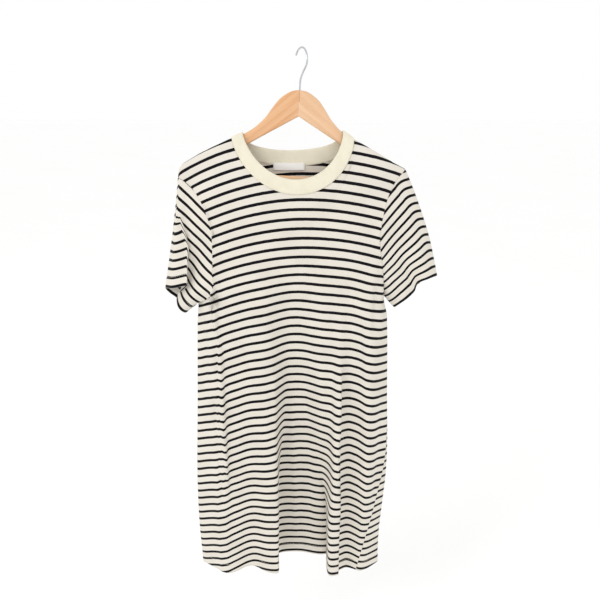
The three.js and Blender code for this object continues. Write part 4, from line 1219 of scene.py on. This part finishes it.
def stitch_line(name, path, normals, closed=False):
    """Capsules along a path of points that lie on the outside of the cloth."""
    if closed:
        path = np.concatenate([path, path[:1]])
        normals = np.concatenate([normals, normals[:1]])
    steps = np.linalg.norm(np.diff(path, axis=0), axis=1)
    along = np.concatenate([[0], np.cumsum(steps)])
    count = int(along[-1] / (STITCH_LENGTH + STITCH_GAP))
    around, vertices, faces = 6, [], []
    for k in range(count):
        start = (k + 0.2) * along[-1] / count
        at = np.linspace(start, start + STITCH_LENGTH, 5)
        spine = np.stack([np.interp(at, along, path[:, i]) for i in range(3)], axis=1)
        out = np.array([np.interp(at[2], along, normals[:, i]) for i in range(3)])
        out /= np.linalg.norm(out)
        ahead = spine[-1] - spine[0]
        ahead /= max(np.linalg.norm(ahead), 1e-9)
        side = np.cross(out, ahead)
        lift = THREAD * np.array([-0.6, 0.5, 0.8, 0.5, -0.6])
        thick = THREAD * np.array([0.35, 0.9, 1, 0.9, 0.35])
        base = len(vertices)
        for place, up, r in zip(spine, lift, thick):
            for j in range(around):
                turn = 2 * math.pi * j / around
                vertices.append(place + out * (up + r * math.sin(turn)) + side * r * math.cos(turn))
        ring = grid_faces(5, around, True, False) + base
        faces += ring.tolist() + [[base + j for j in range(around)][::-1],
                                  [base + 4 * around + j for j in range(around)]]
    made = as_object(name, np.array(vertices) * MM, faces)
    clean(made)
    return replace(made, "jersey")


def row_near(grid, distance):
    """For every column, the point at a distance from the lower end of the cloth."""
    upwards = grid[::-1]
    gap = np.linalg.norm(upwards - upwards[:1], axis=-1)
    return np.array([
        [np.interp(distance, gap[:, c], upwards[:, c, i]) for i in range(3)] for c in range(grid.shape[1])
    ])


def outward_normals(path, sideways):
    """Level normals of a path, turned away from the middle of the garment."""
    ahead = np.gradient(path, axis=0)
    normal = np.cross(ahead, [0, 0, 1.0])
    normal /= np.maximum(np.linalg.norm(normal, axis=1, keepdims=True), 1e-9)
    return normal * sideways


def lifted(path, normals, thickness):
    return path + normals * thickness / 2


def hem_stitches():
    made = []
    for name, grid, turn in (("front", FRONT, 1), ("back", BACK, -1)):
        path = row_near(grid, HEM_DEPTH)[1:-1]
        normal = outward_normals(path, turn)
        made.append(stitch_line("stitches_hem_" + name, lifted(path, normal, JERSEY_THICK), normal))
    for side, grid in (("left", LEFT_GRID), ("right", RIGHT_GRID)):
        path = row_near(grid, HEM_DEPTH)
        normal = np.cross(np.gradient(path, axis=0), grid[-1] - path)
        normal /= np.linalg.norm(normal, axis=1, keepdims=True)
        away = np.sum(normal * (path - path.mean(axis=0)), axis=1).mean()
        normal *= np.sign(away)
        line = stitch_line("stitches_cuff_" + side, lifted(path, normal, JERSEY_THICK), normal, closed=True)
        made.append(line)
    return made


stitches = hem_stitches()
print("stitch lines:", {line.name: len(line.data.polygons) for line in stitches})

# %% [markdown]
# ## Materials written as sums
# A material here is arithmetic on sockets. The small class below lets an expression such as
# 1 - mask * 0.5 build its Math nodes, so the pattern can be read as a formula.


# %% Socket arithmetic
class Value:
    """A node's output that can be used in sums."""

    def __init__(self, tree, socket):
        self.tree, self.socket = tree, socket

    def math(self, operation, *others, first=None):
        values = [self if first is None else first, *others]
        return add_node(self.tree, "ShaderNodeMath", {"operation": operation}, dict(enumerate(values)))

    def __add__(self, other):
        return self.math("ADD", other)

    def __radd__(self, other):
        return self.math("ADD", self, first=other)

    def __sub__(self, other):
        return self.math("SUBTRACT", other)

    def __rsub__(self, other):
        return self.math("SUBTRACT", self, first=other)

    def __mul__(self, other):
        return self.math("MULTIPLY", other)

    def __rmul__(self, other):
        return self.math("MULTIPLY", self, first=other)

    def __truediv__(self, other):
        return self.math("DIVIDE", other)

    def step(self, low, high):
        """0 below low, 1 above high, smooth between."""
        settings = {"interpolation_type": "SMOOTHSTEP"}
        inputs = {"Value": self, "From Min": low, "From Max": high}
        return add_node(self.tree, "ShaderNodeMapRange", settings, inputs, "Result")


def add_node(tree, kind, settings, inputs, output=0):
    """Add a node: settings first, then the values or links of its sockets."""
    node = tree.nodes.new(kind)
    for name, setting in settings.items():
        setattr(node, name, setting)
    for name, given in inputs.items():
        socket = node.inputs[name]
        if isinstance(given, Value):
            tree.links.new(given.socket, socket)
        else:
            socket.default_value = given
    return Value(tree, node.outputs[output])


def srgb(red, green, blue):
    """A colour as seen on a screen, turned into light."""
    def light(v):
        v /= 255
        return v / 12.92 if v <= 0.04045 else ((v + 0.055) / 1.055) ** 2.4

    return (light(red), light(green), light(blue), 1)


def new_material(name):
    material = bpy.data.materials.new(name)
    material.use_nodes = True
    return material, material.node_tree


def finished(material, constants, **varying):
    """Sets the shader's constant sockets and links what changes over the surface."""
    tree = material.node_tree
    shader = next(n for n in tree.nodes if n.type == "BSDF_PRINCIPLED")
    for name, value in constants.items():
        shader.inputs[name].default_value = value
    sockets = {"colour": "Base Color", "rough": "Roughness", "normal": "Normal"}
    for name, value in varying.items():
        tree.links.new(value.socket, shader.inputs[sockets[name]])
    return material


def mix_colours(tree, factor, one, two):
    """A colour between two, by the numbers of the Mix node's sockets for colours."""
    return add_node(tree, "ShaderNodeMix", {"data_type": "RGBA"}, {0: factor, 6: one, 7: two}, 2)


def attribute(tree, name):
    return add_node(tree, "ShaderNodeAttribute", {"attribute_name": name}, {}, "Vector")


def parts_of(tree, vector):
    split = tree.nodes.new("ShaderNodeSeparateXYZ")
    tree.links.new(vector.socket, split.inputs[0])
    return [Value(tree, out) for out in split.outputs]


def vector_math(tree, operation, one, two):
    return add_node(tree, "ShaderNodeVectorMath", {"operation": operation}, {0: one, 1: two})


def noise(tree, vector, scale, detail=2.0):
    return add_node(tree, "ShaderNodeTexNoise", {}, {"Vector": vector, "Scale": scale, "Detail": detail})


def bump(tree, height, distance, strength):
    inputs = {"Height": height, "Distance": distance, "Strength": strength}
    return add_node(tree, "ShaderNodeBump", {}, inputs)


def wave(value, length):
    """A sine wave of a length in mm."""
    return (value * (2 * math.pi / length)).math("SINE")


print("a Value can be added, multiplied and taken from a number")

# %% [markdown]
# ## Jersey
# Single jersey shows fine upright ribs of stitches, the wales, crossed by rows, the courses. A wale is
# under a millimetre wide, so from a step away it only softens the surface: the material mixes a
# little colour noise and a shallow bump. Stripes are knitted in, so their edges follow the courses.

# %% Jersey material
CREAM, CREAM_SHADE, INK = srgb(225, 219, 208), srgb(213, 206, 195), srgb(9, 7, 13)
STRIPE_WIDTH, STRIPE_EDGE = 5.8, 0.28
WALE, COURSE = 0.95, 0.8


def jersey_material(name, first, lowest, highest):
    material, tree = new_material(name)
    cloth = attribute(tree, "cloth")
    across, down, _ = parts_of(tree, cloth)
    wander = noise(tree, cloth, 0.11, 3.0) - 0.5
    place = down - first + wander * 0.9
    nearest = (place / STRIPE_PITCH).math("ROUND").math("MAXIMUM", lowest).math("MINIMUM", highest)
    from_stripe = (place - nearest * STRIPE_PITCH).math("ABSOLUTE")
    stripe = 1 - from_stripe.step(STRIPE_WIDTH / 2 - STRIPE_EDGE, STRIPE_WIDTH / 2 + STRIPE_EDGE)
    wales, courses = wave(across, WALE), wave(down, COURSE)
    knit = wales * 0.5 + (wales * courses) * 0.35
    blotch = noise(tree, cloth, 0.021, 4.0)
    fleck = noise(tree, cloth, 1.9, 2.0)
    base = mix_colours(tree, blotch.step(0.35, 0.75) * 0.5, CREAM, CREAM_SHADE)
    base = mix_colours(tree, fleck.step(0.55, 0.8) * 0.14, base, CREAM_SHADE)
    faded = mix_colours(tree, fleck.step(0.5, 0.9) * 0.12, INK, srgb(46, 42, 49))
    colour = mix_colours(tree, stripe, base, faded)
    rough = 0.86 - stripe * 0.06 + fleck * 0.06
    height = knit * 0.5 + (fleck - 0.5) * 0.9
    constants = {"Sheen Weight": 0.05, "Sheen Roughness": 0.55, "Specular IOR Level": 0.12}
    return finished(material, constants, colour=colour, rough=rough,
                    normal=bump(tree, height, 0.00016, 0.75))


def dress(piece, material):
    piece.data.materials.clear()
    piece.data.materials.append(material)


body_jersey = jersey_material("jersey_striped", FIRST_STRIPE, -20, 46)
for piece in (front, back):
    dress(piece, body_jersey)
SLEEVE_FIRST = 3.2
sleeve_jersey = jersey_material("jersey_striped_sleeve", SLEEVE_FIRST, 0, 40)
for piece in (sleeve_left, sleeve_right):
    dress(piece, sleeve_jersey)
print("stripes:", STRIPE_WIDTH, "mm wide every", STRIPE_PITCH, "mm")

# %% [markdown]
# ## Rib, label and thread
# The neckband's ridges are in its mesh, so its material only adds loops and a soft mottle. The label is
# a smooth satin with a dashed line of thread near each end, and painted shade darkens it along its two
# folded ends. The stitches are a twisted cream thread. All three are made the same way as the jersey: a
# few waves and noises over the cloth's place.

# %% Rib, label and thread
def rib_material():
    material, tree = new_material("rib_ivory")
    cloth = attribute(tree, "cloth")
    _, along, _ = parts_of(tree, cloth)
    loops = wave(along, 0.9)
    fleck = noise(tree, cloth, 1.6, 2.0)
    tone = noise(tree, cloth, 0.05, 3.0)
    base = mix_colours(tree, tone.step(0.3, 0.8) * 0.6, srgb(236, 230, 210), srgb(227, 220, 198))
    colour = mix_colours(tree, fleck.step(0.5, 0.85) * 0.2, base, srgb(214, 206, 188))
    return finished(material, {"Sheen Weight": 0.2, "Specular IOR Level": 0.22}, colour=colour,
                    rough=0.84 + fleck * 0.08, normal=bump(tree, loops * 0.4 + fleck, 0.00015, 0.7))


def label_material():
    material, tree = new_material("label_satin")
    cloth = attribute(tree, "cloth")
    across, down, _ = parts_of(tree, cloth)
    from_end = LABEL["width"] / 2 - across.math("ABSOLUTE")
    near_seam = 1 - (from_end - 2.2).math("ABSOLUTE").step(0.25, 0.6)
    dashes = wave(down, 2.4).step(-0.2, 0.2)
    thread = near_seam * dashes
    weave = wave(across, 0.5) * wave(down, 0.4)
    # painted shade: the satin is darkened within 1.6 mm of each end, where the label folds under
    fold = 1 - from_end.step(0.6, 1.6)
    base = mix_colours(tree, noise(tree, cloth, 0.4, 2.0) * 0.5, srgb(250, 249, 247), srgb(238, 236, 232))
    # the painted shade along the folded ends is mixed in here
    base = mix_colours(tree, fold * 0.35, base, srgb(220, 217, 210))
    colour = mix_colours(tree, thread * 0.5, base, srgb(206, 202, 194))
    return finished(material, {"Sheen Weight": 0.1}, colour=colour, rough=0.5 + weave * 0.05,
                    normal=bump(tree, weave * 0.4 - thread, 0.00014, 0.6))


def thread_material():
    material, tree = new_material("thread_cream")
    spot = add_node(tree, "ShaderNodeTexCoord", {}, {}, "Object")
    twist = add_node(tree, "ShaderNodeTexWave", {}, {"Vector": spot, "Scale": 900.0, "Distortion": 1.5}, 1)
    colour = mix_colours(tree, twist * 0.5, srgb(236, 230, 214), srgb(212, 204, 186))
    return finished(material, {}, colour=colour, rough=0.66 + twist * 0.12)


dress(band, rib_material())
dress(blank_label, label_material())
thread = thread_material()
for line in stitches:
    dress(line, thread)
print("rib, label and thread are set")

# %% [markdown]
# ## Wood and wire
# The arms are pale, close-grained wood under a thin lacquer. The grain runs along each board with
# fine dark flecks. The left board is a shade darker than the right one, as it is in the pair that was
# glued here.

# %% Wood material
def wood_material(name, light, dark, seed):
    material, tree = new_material(name)
    board = attribute(tree, "board")
    _, deep, high = parts_of(tree, board)
    scaled = vector_math(tree, "MULTIPLY", board, (0.012, 0.16, 0.16))
    scaled = vector_math(tree, "ADD", scaled, (seed, seed / 3, 0))
    waver = noise(tree, scaled, 1.3, 3.0)
    rings = ((high * 0.16 + deep * 0.05 + waver * 5.0) * 2.2).math("SINE") * 0.5 + 0.5
    pores = noise(tree, vector_math(tree, "MULTIPLY", board, (0.09, 2.4, 2.4)), 1.0, 3.0).step(0.58, 0.74)
    tone = mix_colours(tree, rings * 0.55, light, dark)
    tone = mix_colours(tree, pores * 0.32, tone, srgb(150, 100, 58))
    worn = noise(tree, scaled, 0.5, 2.0).step(0.4, 0.7)
    tone = mix_colours(tree, worn * 0.18, tone, srgb(248, 222, 190))
    return finished(material, {"Coat Weight": 0.25, "Coat Roughness": 0.22}, colour=tone,
                    rough=0.36 + pores * 0.16 + worn * 0.08,
                    normal=bump(tree, rings * 0.25 - pores, 0.00012, 0.5))


dress(arms["left"], wood_material("wood_left", srgb(222, 168, 118), srgb(208, 150, 100), 0.0))
dress(arms["right"], wood_material("wood_right", srgb(228, 186, 146), srgb(216, 170, 128), 7.3))
dress(bar, wood_material("wood_bar", srgb(230, 186, 142), srgb(206, 156, 108), 3.1))


def chrome_material():
    material, tree = new_material("chrome_wire")
    spot = add_node(tree, "ShaderNodeTexCoord", {}, {}, "Object")
    haze = noise(tree, spot, 160.0, 3.0)
    colour = mix_colours(tree, haze * 0.6, srgb(206, 208, 212), srgb(168, 170, 176))
    return finished(material, {"Metallic": 1.0}, colour=colour, rough=0.16 + haze.step(0.4, 0.8) * 0.16,
                    normal=bump(tree, haze, 0.00004, 0.25))


dress(hook, chrome_material())
print("wood and chrome are set")

# %% [markdown]
# ## The sheets of cloth
# A cloth simulation starts from flat pieces, while these meshes are built as they hang. There are six
# sheets: front, back, two sleeves, neckband and label.

# %% Sheets of cloth
print("six sheets of cloth")

# %% [markdown]
# ## Floor and light
# A pale floor far below and a white surround give the soft, even light of a product picture. One
# large light from the upper left shapes the folds.

# %% Floor
FLOOR_LEVEL, FLOOR_REACH = -1.34, 60  # in metres


def floor():
    corners = [(-FLOOR_REACH, -FLOOR_REACH), (FLOOR_REACH, -FLOOR_REACH), (FLOOR_REACH, FLOOR_REACH),
               (-FLOOR_REACH, FLOOR_REACH)]
    made = as_object("floor", [(x, y, FLOOR_LEVEL) for x, y in corners], [(0, 1, 2, 3)])
    material, tree = new_material("floor_pale")
    spot = add_node(tree, "ShaderNodeTexCoord", {}, {}, "Object")
    shade = noise(tree, spot, 0.7, 3.0)
    colour = mix_colours(tree, shade, srgb(255, 255, 255), srgb(253, 253, 252))
    dress(made, finished(material, {"Roughness": 0.9, "Specular IOR Level": 0.1}, colour=colour))


floor()


def area_light(name, place, aim, size, power):
    lamp = bpy.data.lights.new(name, "AREA")
    lamp.size, lamp.energy = size, power
    made = bpy.data.objects.new(name, lamp)
    made.location = place
    made.rotation_euler = (Vector(aim) - Vector(place)).to_track_quat("-Z", "Y").to_euler()
    bpy.context.scene.collection.objects.link(made)


bpy.context.scene.view_settings.view_transform = "Standard"
world = bpy.data.worlds.new("studio")
bpy.context.scene.world = world
world.use_nodes = True
world.node_tree.nodes["Background"].inputs["Color"].default_value = (1, 1, 1, 1)
world.node_tree.nodes["Background"].inputs["Strength"].default_value = 1.0
area_light("key", (-1.9, -1.7, 1.0), (0, 0, -0.55), 1.2, 16)
area_light("fill", (1.9, -2.0, 0.2), (0, 0, -0.6), 1.8, 3)
